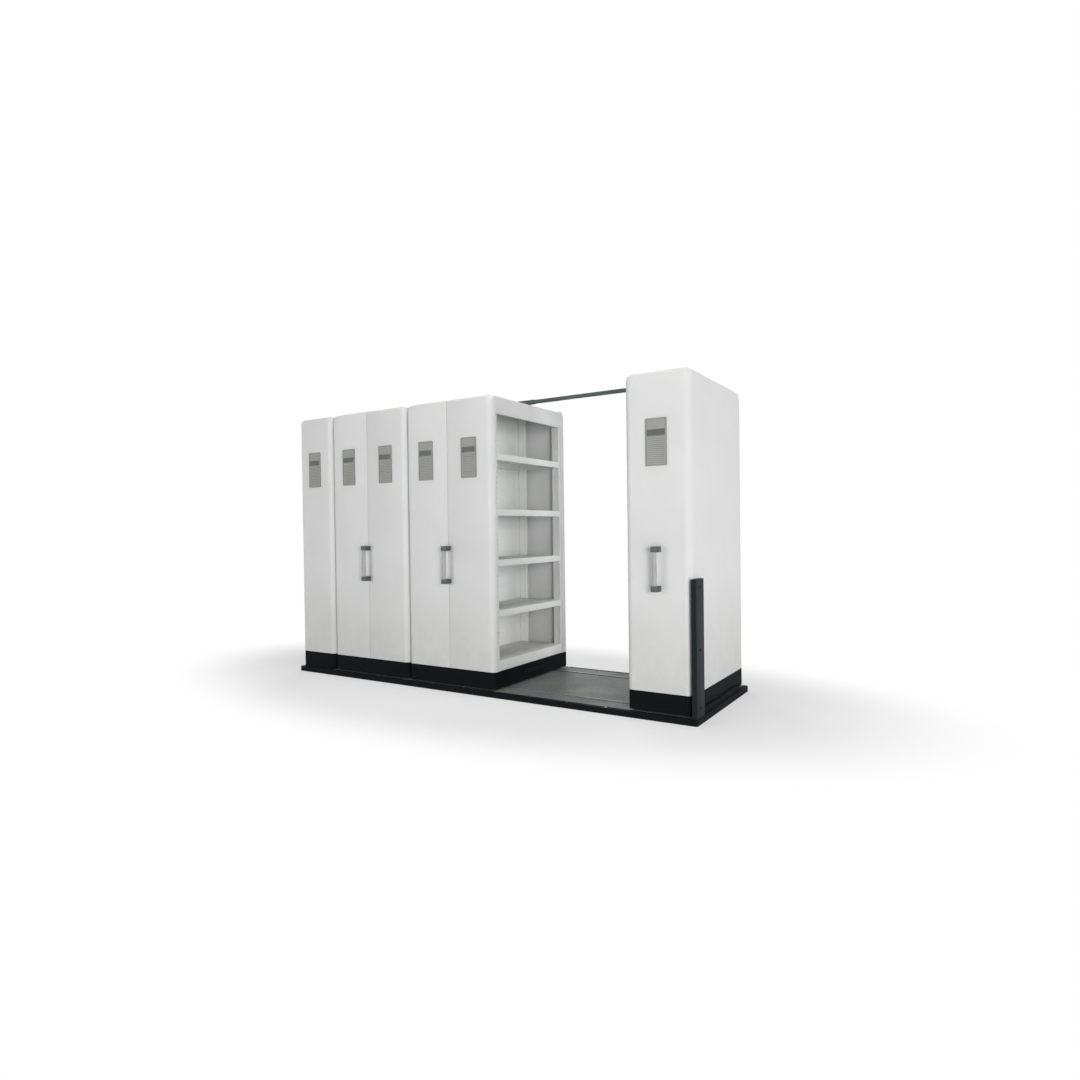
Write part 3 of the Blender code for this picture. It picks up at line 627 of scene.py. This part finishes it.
# Front, rear and side sheets. The bends and corners are those of the solids.
panelForm = {
    "sheet": 0.0012, "bend": 0.045, "topBend": 0.02, "bendSteps": 10, "cornerSteps": 10,
    "rearBend": 0.045, "rearDrop": 0.09, "aisleCorner": (0.045, 0.045),
    "coverCorner": (0.045, 0.03), "fold": 0.0025, "return": 0.012, "screwInset": 0.03,
    "screwRows": 5,
}


def frontPanel(unit, node):
    form = panelForm
    seam = 1 if node.endswith("_left") else -1 if node.endswith("_right") else 0
    corners, bends = [], []
    for side in (-1, 1):
        corner = form["coverCorner" if unit["cover"] == side else "aisleCorner"]
        corners.append(None if seam == side else corner)
        bends.append(0 if seam == side else form["bend"])
    made = hood(node + "_sheet", *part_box(node), -1, (*bends, form["topBend"], form["bend"]), corners,
                form, finish["panel"])
    dress(made, unit["body"], "painted_panel", node)


def rearPanel(unit, node):
    low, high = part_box(node)
    form = panelForm
    corners = [form["coverCorner"] if unit["cover"] == side else None for side in (-1, 1)]
    bends = (0, 0, form["rearDrop"], form["rearBend"])
    made = hood(node + "_sheet", low, high, 1, bends, corners, form, finish["panel"])
    dress(made, unit["body"], "painted_panel", node)
    inset = form["screwInset"]
    for z in spread(low.z, high.z - form["rearDrop"], inset, count=form["screwRows"]):
        for x in (low.x + inset, high.x - inset):
            screw(unit["body"], "pan", "panel", (x, high.y, z), (0, 1, 0))


def sideCover(unit, node):
    low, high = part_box(node)
    outer = unit["cover"]
    across, down = panelForm["coverCorner"]

    def topEdge(e, half):
        return liesOn(e, 0, outer * half.x) and liesOn(e, 2, half.z)

    made = foldedShell(node + "_sheet", low, high, (-outer, 0, 0),
                       [(topEdge, across, panelForm["cornerSteps"])], 0, 0, finish["panel"])
    for v in made.data.vertices:  # the round edge is flattened, as on the panels that it meets
        drop = high.z - v.co.z
        if drop < across + weldDistance:
            v.co.z = high.z - drop * down / across
    thicken(made, panelForm["sheet"])
    dress(settle(made), unit["body"], "painted_panel", node)


# Top sheet with a fascia over each open side
topForm = {"sheet": 0.0015, "bend": 0.005, "bendSteps": 4, "return": 0.016, "fascia": 0.125,
           "lip": 0.02}


def topSheet(unit, node):
    low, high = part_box(node)
    form = topForm
    leftFoot, rightFoot = (high.z - form["lip" if unit["cover"] == side else "fascia"]
                           for side in (-1, 1))
    points = [(low.x, leftFoot), (low.x, high.z), (high.x, high.z), (high.x, rightFoot)]
    if unit["cover"] != -1:
        points.insert(0, (low.x + form["return"], leftFoot))
    if unit["cover"] != 1:
        points.append((high.x - form["return"], rightFoot))
    made = foldedStrip(node + "_sheet", points, form["bend"], form["bendSteps"], low.y, high.y,
                       form["sheet"], finish["panel"])
    dress(made, unit["body"], "painted_panel", node)


for unit in units:
    for node in unit["fronts"]:
        frontPanel(unit, node)
    rearPanel(unit, unit["tag"] + "_rear_panel")
    if unit["cover"]:
        sideCover(unit, unit["tag"] + "_side_cover")
    topSheet(unit, unit["tag"] + "_top")
print("panels and tops built")

# Uprights with hook slots, folded shelves and their clips
uprightForm = {"depth": 0.07, "face": 0.025, "wall": 0.0015, "corner": 0.003, "cornerSteps": 2,
               "pitch": 0.0375, "slotWidth": 0.005, "slotHeight": 0.016, "slotInset": 0.016}
shelfForm = {"tops": (0.25, 0.623, 0.998, 1.373, 1.783), "lip": 0.048, "sheet": 0.0012,
             "fold": 0.0022, "foldSteps": 3, "return": 0.014, "inset": 0.001,
             "ribWidth": 0.07, "ribFoot": 0.042, "ribHeight": 0.018, "ribSteps": 2}


def uprightTile(openSide, innerSide):
    # One pitch of a post about its own centre, slotted on its open side and on its inner flank
    form = uprightForm
    a, b, half = form["depth"] / 2, form["face"] / 2, form["slotWidth"] / 2
    flank = openSide * (a - form["slotInset"])
    corners = roundedRing((-a, -b), (a, b), form["corner"], form["cornerSteps"])
    inCorner = form["cornerSteps"] + 1
    # after each corner a flat side: is it slotted, the slot's middle, half of it along the way
    sides = ((innerSide > 0, (flank, b), (-half, 0)), (openSide < 0, (-a, 0), (0, -half)),
             (innerSide < 0, (flank, -b), (half, 0)), (openSide > 0, (a, 0), (0, half)))
    ring, gaps = [], []
    for turn, (slotted, (x, y), (alongX, alongY)) in enumerate(sides):
        ring += corners[turn * inCorner:(turn + 1) * inCorner]
        if slotted:
            gaps.append((1, len(ring)))
            ring += [(x - alongX, y - alongY), (x + alongX, y + alongY)]
    bm = bmesh.new()
    halfPitch, halfSlot = form["pitch"] / 2, form["slotHeight"] / 2
    bridge(bm, [[bm.verts.new((x, y, z)) for x, y in ring]
                for z in (-halfPitch, -halfSlot, halfSlot, halfPitch)], gaps)
    return fromBmesh("tile", bm, None)


tiles = {(openSide, innerSide): uprightTile(openSide, innerSide)
         for openSide in (-1, 1) for innerSide in (-1, 1)}


def moveMesh(piece, shift):
    piece.data.transform(Matrix.Translation(shift))
    return piece


def uprights(unit, node, openSide):
    low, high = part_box(node)
    form = uprightForm
    count = math.floor((high.z - low.z) / form["pitch"])
    step = (high.z - low.z) / count  # the pitch is stretched by under 2 % to end flush
    posts = []
    for postX in (low.x + form["depth"] / 2, high.x - form["depth"] / 2):
        for postY, innerSide in ((low.y + form["face"] / 2, 1), (high.y - form["face"] / 2, -1)):
            made = stackOf(node + "_post", tiles[(openSide, innerSide)], count,
                           (0.0, 0.0, form["pitch"]), finish["shelf"], form["wall"])
            made.data.transform(Matrix.Diagonal((1, 1, step / form["pitch"], 1)))
            posts.append(moveMesh(made, (postX, postY, low.z + step / 2)))
    dress(join(node + "_uprights", posts), unit["body"], "painted_shelf", node)


def shelves(unit, node):
    low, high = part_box(node)
    form = shelfForm
    inset, face, postHalf = form["inset"], uprightForm["face"], uprightForm["depth"] / 2
    near, far = low.y + face + inset, high.y - face - inset
    middle, side, foot = (low.x + high.x) / 2, form["ribWidth"] / 2, form["ribFoot"] / 2

    def edges(e, half):
        return liesOn(e, 2, half.z) or liesOn(e, 2, -half.z)

    made = []
    for index, top in enumerate(form["tops"]):
        under = top - form["lip"] if index else low.z
        made.append(foldedShell(
            node + "_shelf", (low.x + inset, near, under), (high.x - inset, far, top), (0, 0, -1),
            [(edges, form["fold"], form["foldSteps"])], form["sheet"], form["return"],
            finish["shelf"]))
        ribTop = top - form["sheet"]
        ribFoot = ribTop - form["ribHeight"]
        rib = [(middle + side, ribTop), (middle + foot, ribFoot), (middle - foot, ribFoot),
               (middle - side, ribTop)]
        made.append(foldedStrip(node + "_rib", rib, form["fold"], form["ribSteps"],
                                near + form["return"], far - form["return"], form["sheet"],
                                finish["shelf"]))
        for x in (low.x + postHalf, high.x - postHalf) if index else ():
            screw(unit["body"], "clip", "shelf", (x, low.y + face, under), (0, 1, 0))
            screw(unit["body"], "clip", "shelf", (x, high.y - face, under), (0, -1, 0))
    dress(join(node + "_shelves", made), unit["body"], "painted_shelf", node)


for unit in units:
    for node, openSide in unit["racks"]:
        uprights(unit, node, openSide)
        shelves(unit, node)
for tile in tiles.values():
    bpy.data.objects.remove(tile, do_unlink=True)
print("uprights and shelves built")

# Bases: painted steel boxes, open below, with flanged bearings inside the rolling ones. The
# bearing's profile is shares of the boss's radius and depth.
baseForm = {"sheet": 0.003, "bend": 0.045, "bendSteps": 10, "return": 0.02, "screwInset": 0.07,
            "screwHeight": 0.03, "plate": 0.006, "plateDrop": 0.1, "plateRail": 0.16,
            "plateGap": 0.019, "plateBevel": 0.001, "axleInset": 0.11, "axleHeight": 0.0903,
            "boss": 0.024, "bossDepth": 0.009, "bossSteps": 32}
bearingShares = ((0.4375, 0), (1, 0), (1, 0.4), (0.7, 0.6), (0.62, 1), (0.4375, 1), (0.4375, 0))


def base(unit, node):
    low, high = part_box(node)
    form = baseForm

    def frontUprights(e, half):
        return liesOn(e, 1, -half.y) and (liesOn(e, 0, -half.x) or liesOn(e, 0, half.x))

    pieces = [foldedShell(node + "_shell", low, high, (0, 0, -1),
                          [(frontUprights, form["bend"], form["bendSteps"])], form["sheet"],
                          form["return"], finish["base"])]
    inset = form["screwInset"]
    z = high.z - form["screwHeight"]
    for x in (low.x + inset, high.x - inset):
        screw(unit["body"], "pan", "base", (x, low.y, z), (0, -1, 0))
        screw(unit["body"], "pan", "base", (x, high.y, z), (0, 1, 0))
    if unit["cover"] == 1:
        for y in (low.y + inset, high.y - inset):
            screw(unit["body"], "pan", "base", (high.x, y, z), (1, 0, 0))
    if unit["tag"] != "static":
        roof = high.z - form["sheet"]
        for way, railY in ((1, low.y + form["plateRail"]), (-1, high.y - form["plateRail"])):
            plateY = railY + way * form["plateGap"]
            faceY = plateY + way * form["plate"]
            near, far = sorted((plateY, faceY))
            pieces.append(block("plate", (low.x + form["sheet"], near, roof - form["plateDrop"]),
                                (high.x - form["sheet"], far, roof), finish["base"],
                                form["plateBevel"], 1))
            profile = [(form["boss"] * across, way * form["bossDepth"] * along)
                       for across, along in bearingShares]
            for x in (low.x + form["axleInset"], high.x - form["axleInset"]):
                pieces.append(lathe("bearing", profile, (x, faceY, form["axleHeight"]), "y",
                                    finish["base"], form["bossSteps"]))
    dress(join(node + "_pressed", pieces), unit["body"], "painted_base", node)


for unit in units:
    base(unit, unit["tag"] + ("_base" if unit["tag"] == "static" else "_carriage"))

# Wheel sets: two flanged wheels turned on one shaft
wheelForm = {"radius": 0.045, "rim": 0.048, "half": 0.015, "tread": 0.011, "hub": 0.02,
             "hubHalf": 0.018, "shaft": 0.01, "web": 0.006, "webEdge": 0.036, "rimFoot": 0.0378,
             "rimEdge": 0.001, "treadEdge": 0.0008}


def wheelSet(unit, side):
    node = f"{unit['tag']}_wheelset_{side}"
    low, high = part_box(node)
    form = wheelForm
    reach = (high.y - low.y) / 2
    half, edge, tread = form["half"], form["rimEdge"], form["tread"]
    wheel = [(form["shaft"], -form["hubHalf"]), (form["hub"], -form["hubHalf"]),
             (form["hub"], -form["web"]), (form["webEdge"], -form["web"]), (form["rimFoot"], -half),
             (form["rim"] - edge, -half), (form["rim"], edge - half),
             (form["rim"], -tread - form["treadEdge"]), (form["radius"], edge - tread)]
    wheel += [(radius, -along) for radius, along in reversed(wheel)]
    profile = [(0, -reach)]
    for at in (half - reach, reach - half):
        profile += [(radius, max(-reach, min(reach, at + along))) for radius, along in wheel]
    profile.append((0, reach))
    wheels = lathe(node + "_turned", profile, (low + high) / 2, "y", finish["wheel"])
    dress(wheels, f"{unit['tag']}_wheels_{side}", "wheel_steel", node)


for unit in units[1:]:
    for side in ("left", "right"):
        wheelSet(unit, side)
print("bases and wheels built")

# Handles: a straight grip between two cast legs with round noses
handleForm = {"grip": 0.013, "nose": 0.017, "legHeight": 0.036, "bevel": 0.003, "bevelSteps": 3,
              "arcSteps": 6, "ring": 0.0016, "ringWidth": 0.006, "ringEdge": 0.0005,
              "ringStep": 0.001, "sunk": 0.002, "swell": 0.0012, "swellSteps": 8}


def handle(unit, node):
    low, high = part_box(node)
    form = handleForm
    middle, nose = (low.x + high.x) / 2, form["nose"]
    gripY = low.y + nose
    arc = [(high.x - nose * over, gripY - nose * up) for up, over in quarterArc(form["arcSteps"])]
    outline = [(low.x, high.y)] + [(2 * middle - u, v) for u, v in arc] + arc[::-1] + [(high.x, high.y)]
    legs = [prism("leg", outline, "z", foot, foot + form["legHeight"], finish["leg"], form["bevel"],
                  form["bevelSteps"]) for foot in (low.z, high.z - form["legHeight"])]
    dress(join(node + "_legs", legs), unit["body"], "handle_grey")

    foot, top = low.z + form["legHeight"], high.z - form["legHeight"]
    grip, wide, sunk = form["grip"], form["ringWidth"], form["sunk"]
    ring = grip + form["ring"]
    end = [(0, -sunk), (grip, -sunk), (grip, 0), (ring, form["ringEdge"]), (ring, wide),
           (grip, wide + form["ringStep"])]
    profile = [(radius, foot + along) for radius, along in end]
    for k in range(1, form["swellSteps"]):  # the grip swells a little towards its middle
        share = k / form["swellSteps"]
        profile.append((grip + form["swell"] * math.sin(math.pi * share),
                        foot + wide + (top - foot - 2 * wide) * share))
    profile += [(radius, top - along) for radius, along in reversed(end)]
    turned = lathe(node + "_grip", profile, (middle, gripY, 0), "z", finish["grip"])
    dress(turned, unit["body"], "handle_grey", node)


for unit in units[1:]:
    handle(unit, unit["tag"] + "_handle")
print("handles built")

# Label holders: a moulded frame with a name field, a dark pull bar and a ruled list, all blank
labelForm = {"corner": 0.006, "bevel": 0.0015, "setBack": 0.0004, "rim": 0.009, "nameHeight": 0.058,
             "barHeight": 0.038, "barGap": 0.005, "barDepth": 0.001, "barPlay": 0.0003,
             "pocketDepth": 0.005, "back": 0.0049, "overcut": 0.01, "cardDepth": 0.0022,
             "cardPlay": 0.0002, "ruleHeight": 0.0022, "rulePitch": 0.0125, "ruleInset": 0.008,
             "ruleFoot": 0.009, "ruleEnds": 0.01, "ruleHalf": 0.0001}


def labelHolder(unit, node):
    low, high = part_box(node)
    form = labelForm
    rim, gap = form["rim"], form["barGap"]
    outline = roundedRing((low.x, low.z), (high.x, high.z), form["corner"])
    plate = prism(node + "_frame", outline, "y", high.y, low.y + form["setBack"], finish["holder"],
                  form["bevel"], 2)
    nameTop, listFoot = high.z - rim, low.z + rim
    nameFoot = nameTop - form["nameHeight"]
    barTop = nameFoot - gap
    barFoot = barTop - form["barHeight"]
    listTop = barFoot - gap
    left, right = low.x + rim, high.x - rim
    for top, foot in ((nameTop, nameFoot), (barTop, barFoot), (listTop, listFoot)):
        cutFrom(plate, block("pocket", (left, low.y - form["overcut"], foot),
                             (right, low.y + form["pocketDepth"], top), None, 0.0))
    dress(plate, unit["body"], "label_grey", node)

    face, back, play = low.y + form["cardDepth"], low.y + form["back"], form["cardPlay"]
    cards = [block("card", (left + play, face, foot + play), (right - play, back, top - play),
                   finish["card"], play, 1)
             for top, foot in ((nameTop, nameFoot), (listTop, listFoot))]
    reach, thin = (right - left) / 2 - form["ruleInset"], form["ruleHalf"]
    rule = block("rule", (-reach, -thin, 0), (reach, thin, form["ruleHeight"]), None, 0.0)
    count = int((listTop - listFoot - form["ruleEnds"]) / form["rulePitch"])
    rules = stackOf("rules", rule, count, (0.0, 0.0, form["rulePitch"]), finish["ink"])
    bpy.data.objects.remove(rule, do_unlink=True)
    cards.append(moveMesh(rules, ((left + right) / 2, face, listFoot + form["ruleFoot"])))
    dress(join(node + "_cards", cards), unit["body"], "label_grey")

    play = form["barPlay"]
    bar = block(node + "_bar", (left + play, low.y + form["barDepth"], barFoot + play),
                (right - play, back, barTop - play), finish["bar"], form["bevel"], 3)
    dress(bar, unit["body"], "label_grey")


for unit in units:
    for node in cadNodes:
        if node.startswith(unit["tag"] + "_label_holder"):
            labelHolder(unit, node)
print("label holders built")

# Rubber buffers: a ribbed nose on a flat strip. The wave is shares of a rib's pitch and reach.
bufferForm = {"strip": 0.003, "ribs": 3, "inset": 0.002, "ribShare": 0.98,
              "waveShares": ((0.0, 0.55), (0.18, 0.93), (0.5, 1.0), (0.82, 0.93), (1.0, 0.55))}


def rubberBuffer(unit, node):
    low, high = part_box(node)
    form = bufferForm
    stripX = low.x + form["strip"]
    pitch = (high.z - low.z - form["inset"] * 2) / form["ribs"]
    outline = [(low.x, low.z), (stripX, low.z)]
    for k in range(form["ribs"]):
        foot = low.z + form["inset"] + pitch * k
        outline += [(stripX + (high.x - stripX) * reach, foot + pitch * share * form["ribShare"])
                    for share, reach in form["waveShares"]]
    outline += [(stripX, high.z), (low.x, high.z)]
    made = prism(node + "_ribbed", outline, "y", low.y, high.y, finish["rubber"])
    dress(made, unit["body"], "buffer_rubber", node)


for unit in units[:3]:
    rubberBuffer(unit, unit["tag"] + "_buffer")

# Overhead tie: two square tubes with rolled corners, plugs in their ends, bolted feet and guides
tieForm = {"corner": 0.005, "wall": 0.002, "plugPlay": 0.0003, "plugCorner": 0.0025,
           "plugDepth": 0.012, "plugInset": 0.0006, "plugBevel": 0.0008, "footScrew": (0.02, 0.011),
           "guideScrew": (0.015, 0.0095), "guideFlange": 0.002}


def squareTube(node, body, end):  # end is -1 or 1, the one that is plugged
    low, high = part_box(node)
    form = tieForm

    def outline(inset, radius):
        return roundedRing((low.y + inset, low.z + inset), (high.y - inset, high.z - inset), radius)

    bm = bmesh.new()
    bridge(bm, [[bm.verts.new((x, y, z)) for y, z in outline(0, form["corner"])]
                for x in (low.x, high.x)])
    dress(fromBmesh(node + "_rolled", bm, finish["tie"], form["wall"]), body, "tie_paint", node)
    x, side = (low.x, "left") if end < 0 else (high.x, "right")
    plug = prism(f"{node}_plug_{side}", outline(form["wall"] + form["plugPlay"], form["plugCorner"]),
                 "x", x - end * form["plugDepth"], x - end * form["plugInset"], finish["plug"],
                 form["plugBevel"], 2)
    dress(plug, body, "tie_paint")


squareTube("tie_tube_outer", "platform", -1)
squareTube("tie_tube_inner", "rack_c", 1)
for node, body in (("static_tie_foot", "platform"), ("c_tie_foot", "rack_c"),
                   ("a_tie_guide", "rack_a"), ("b_tie_guide", "rack_b")):
    low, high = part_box(node)
    isFoot = node.endswith("foot")
    insetX, insetY = tieForm["footScrew" if isFoot else "guideScrew"]
    z = high.z if isFoot else low.z + tieForm["guideFlange"]
    for x in (low.x + insetX, high.x - insetX):
        for y in (low.y + insetY, high.y - insetY):
            screw(body, "hex", "zinc", (x, y, z), (0, 0, 1))
print("tie built")

# Platform: screws along the rims and rails, the stop post and the rails' end stop
platformForm = {"screwPitch": 0.3, "screwInset": 0.04, "rimInset": 0.017, "railPitch": 0.25,
                "railInset": 0.05, "railEdge": 0.0008, "sink": 0.0009, "sinkFoot": 0.0052,
                "sinkMouth": 0.0062, "sinkSteps": 24, "postWall": 0.003, "postBend": 0.004,
                "postBendSteps": 4, "postScrews": (0.06, 0.42), "postTopScrew": 0.05,
                "stopInset": 0.06, "stopScrews": 4}


def platformScrews():
    low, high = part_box("platform_frame")
    form = platformForm
    for x in spread(low.x, high.x, form["screwInset"], form["screwPitch"]):
        for y in (low.y + form["rimInset"], high.y - form["rimInset"]):
            screw("platform", "flush", "zinc", (x, y, high.z), (0, 0, 1))


def rail(node):  # a drawn bar, its screws sunk so that the wheels pass
    low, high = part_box(node)
    form = platformForm
    sink = form["sink"]
    profile = [(0, -sink), (form["sinkFoot"], -sink), (form["sinkMouth"], sink), (0, sink)]
    sinks = []
    for x in spread(low.x, high.x, form["railInset"], form["railPitch"]):
        place = Vector((x, (low.y + high.y) / 2, high.z))
        sinks.append(lathe("sink", profile, place, "z", finish["rail"], form["sinkSteps"]))
        screw("platform", "flush", "zinc", place - Vector((0, 0, sink)), (0, 0, 1))
    bar = block(node + "_drawn", low, high, finish["rail"], form["railEdge"], 2)
    cutFrom(bar, join("sinks", sinks))
    dress(bar, "platform", "rail_steel", node)


def stopPost(node):
    low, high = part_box(node)
    form = platformForm

    def edges(e, half):
        return liesOn(e, 2, half.z) or any(liesOn(e, 0, sx * half.x) and liesOn(e, 1, sy * half.y)
                                           for sx in (-1, 1) for sy in (-1, 1))

    post = foldedShell(node + "_folded", low, high, (0, 0, -1),
                       [(edges, form["postBend"], form["postBendSteps"])], form["postWall"], 0,
                       finish["post"])
    dress(post, "platform", "painted_base", node)
    for z in [low.z + up for up in form["postScrews"]] + [high.z - form["postTopScrew"]]:
        screw("platform", "hex", "post", (high.x, (low.y + high.y) / 2, z), (1, 0, 0))


def railStopScrews():
    low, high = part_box("rail_end_stop")
    for y in spread(low.y, high.y, platformForm["stopInset"], count=platformForm["stopScrews"]):
        screw("platform", "pan", "base", (high.x, y, (low.z + high.z) / 2), (1, 0, 0))


platformScrews()
rail("rail_front")
rail("rail_rear")
stopPost("end_stop_post")
railStopScrews()
print("platform built")

slotOf = {"panel": "painted_panel", "base": "painted_base", "zinc": "rail_steel",
          "shelf": "painted_shelf", "post": "painted_base"}
for (body, kind, paint), spots in sorted(screwSpots.items()):
    made = headsAt(f"{body}_{kind}_{paint}_heads", heads[kind], spots, finish[paint], headSpin[kind])
    dress(made, body, slotOf[paint])
for head in heads.values():
    bpy.data.objects.remove(head, do_unlink=True)
print("screws and clips:", sum(len(spots) for spots in screwSpots.values()))

# CAD nodes that stay get their finish
kept = {
    "painted_base": "base", "deck_floor": "vinyl", "rail_steel": "rail", "painted_shelf": "shelf",
    "tie_paint": "tie", "painted_panel": "panel", "buffer_rubber": "rubber", "wheel_steel": "wheel",
    "handle_grey": "grip", "label_grey": "holder",
}
slotOfNode = {part["node"]: part["material_slot"] for part in frame["record"]["subparts"]}
for node, made in cadNodes.items():
    if not made.hide_render:
        made.data.materials.clear()
        made.data.materials.append(finish[kept[slotOfNode[node]]])

# The floor fades to plain white outside an oval round the object
stageForm = {"floorHalf": 60.0, "floorDrop": 0.001, "floorColour": "#F4F4F4", "speck": "#F1F1F1",
             "speckMm": 40, "roughness": 0.9, "shine": 0.1, "clearFrom": 1.15, "clearTo": 1.9,
             "clearReach": (1.9, 1.0), "clearShare": 0.45, "worldLevel": 0.12}


def seenStraight(tree):  # 1 for what the camera sees, also in gloss and through glass
    path = addNode(tree, "LightPath")
    seen = addNode(tree, "Math", {"operation": "MAXIMUM"},
                   {0: path.outputs["Is Camera Ray"], 1: path.outputs["Is Glossy Ray"]})
    return addNode(tree, "Math", {"operation": "MAXIMUM"},
                   {0: seen, 1: path.outputs["Is Transmission Ray"]})


def makeFloor():
    form = stageForm
    bm = bmesh.new()
    bmesh.ops.create_grid(bm, x_segments=1, y_segments=1, size=form["floorHalf"])
    bmesh.ops.translate(bm, vec=(0, 0, -form["floorDrop"]), verts=bm.verts)
    material, tree, shader, where = newMaterial("floor_matt_white", form["shine"])
    made = fromBmesh("floor", bm, material)
    speck = addNode(tree, "TexNoise", {"Scale": grain(form["speckMm"]), "Detail": 3.0},
                    {"Vector": where})
    tone = addNode(tree, "Mix", {"data_type": "RGBA", 6: linear(form["speck"]),
                                 7: linear(form["floorColour"])}, {0: speck})
    tree.links.new(tone.outputs[2], shader.inputs["Base Color"])
    shader.inputs["Roughness"].default_value = form["roughness"]
    across, deep = form["clearReach"]
    oval = addNode(tree, "Mapping", {"Scale": (1 / across, 1 / deep, 1.0)}, {"Vector": where})
    away = addNode(tree, "VectorMath", {"operation": "LENGTH"}, {0: oval})
    fade = addNode(tree, "MapRange", {"interpolation_type": "SMOOTHSTEP",
                                      **span(form["clearFrom"], form["clearTo"], form["clearShare"])},
                   {"Value": away.outputs["Value"]})
    share = addNode(tree, "Math", {"operation": "MULTIPLY"}, {0: fade, 1: seenStraight(tree)})
    white = addNode(tree, "Emission", {"Color": (1, 1, 1, 1), "Strength": 1.0})
    blend = addNode(tree, "MixShader", {}, {0: share, 1: shader, 2: white})
    out = next(n for n in tree.nodes if n.bl_idname == "ShaderNodeOutputMaterial")
    tree.links.new(blend.outputs[0], out.inputs["Surface"])


def makeWorld():
    world = bpy.data.worlds.new("studio")
    bpy.context.scene.world = world
    world.use_nodes = True
    tree = world.node_tree
    tree.nodes.clear()
    soft = addNode(tree, "Background", {"Color": (1, 1, 1, 1), "Strength": stageForm["worldLevel"]})
    white = addNode(tree, "Background", {"Color": (1, 1, 1, 1), "Strength": 1.0})
    blend = addNode(tree, "MixShader", {}, {0: seenStraight(tree), 1: soft, 2: white})
    addNode(tree, "OutputWorld", {}, {"Surface": blend})


# Soft boxes, balanced until fronts, end cover and open shelves were as light as photographed
lamps = {  # place, aim, side of the box, watts
    "front_right_softbox": ((7.3, -6.6, 1.8), (0.6, 0, 1.1), 3.2, 480),
    "front_left_softbox": ((-4.0, -7.5, 1.8), (-0.3, 0, 1.1), 3.2, 165),
    "rear_right_softbox": ((8.0, 4.0, 1.8), (1.2, 0, 1.1), 3.2, 165),
    "top_softbox": ((0.8, -0.8, 5.5), (0.6, 0, 1.0), 3.0, 95),
    "rear_left_softbox": ((-4.5, 6.5, 2.6), (0, 0, 1.0), 3.2, 260),
}


def makeLamps():
    for name, (place, aim, side, watts) in lamps.items():
        light = bpy.data.lights.new(name, "AREA")
        light.size, light.energy = side, watts
        made = bpy.data.objects.new(name, light)
        bpy.context.scene.collection.objects.link(made)
        made.location = place
        made.rotation_euler = (Vector(aim) - Vector(place)).to_track_quat("-Z", "Y").to_euler()


# The camera was fitted to the photograph's edges
cameraForm = {"place": (3.293, -4.646, 1.214), "yaw": 32.179, "pitch": 0.809, "roll": -0.746,
              "focalPixels": 702.968, "imagePixels": 1080, "sensor": 36.0}


def makeCamera():
    form = cameraForm
    data = bpy.data.cameras.new("camera")
    data.sensor_width = form["sensor"]
    data.lens = form["sensor"] * form["focalPixels"] / form["imagePixels"]
    made = bpy.data.objects.new("camera", data)
    bpy.context.scene.collection.objects.link(made)
    yaw, pitch, roll = (math.radians(form[k]) for k in ("yaw", "pitch", "roll"))
    ahead = Vector((-math.sin(yaw) * math.cos(pitch), math.cos(yaw) * math.cos(pitch),
                    -math.sin(pitch)))
    level = Vector((math.cos(yaw), math.sin(yaw), 0))
    upright = level.cross(ahead)
    right = level * math.cos(roll) + upright * math.sin(roll)
    up = upright * math.cos(roll) - level * math.sin(roll)
    turn = Matrix((right, up, -ahead)).transposed().to_4x4()
    made.matrix_world = Matrix.Translation(form["place"]) @ turn
    bpy.context.scene.camera = made


makeFloor()
makeWorld()
makeLamps()
makeCamera()
bpy.context.scene.view_settings.view_transform = "Standard"
print("stage, light and camera set")
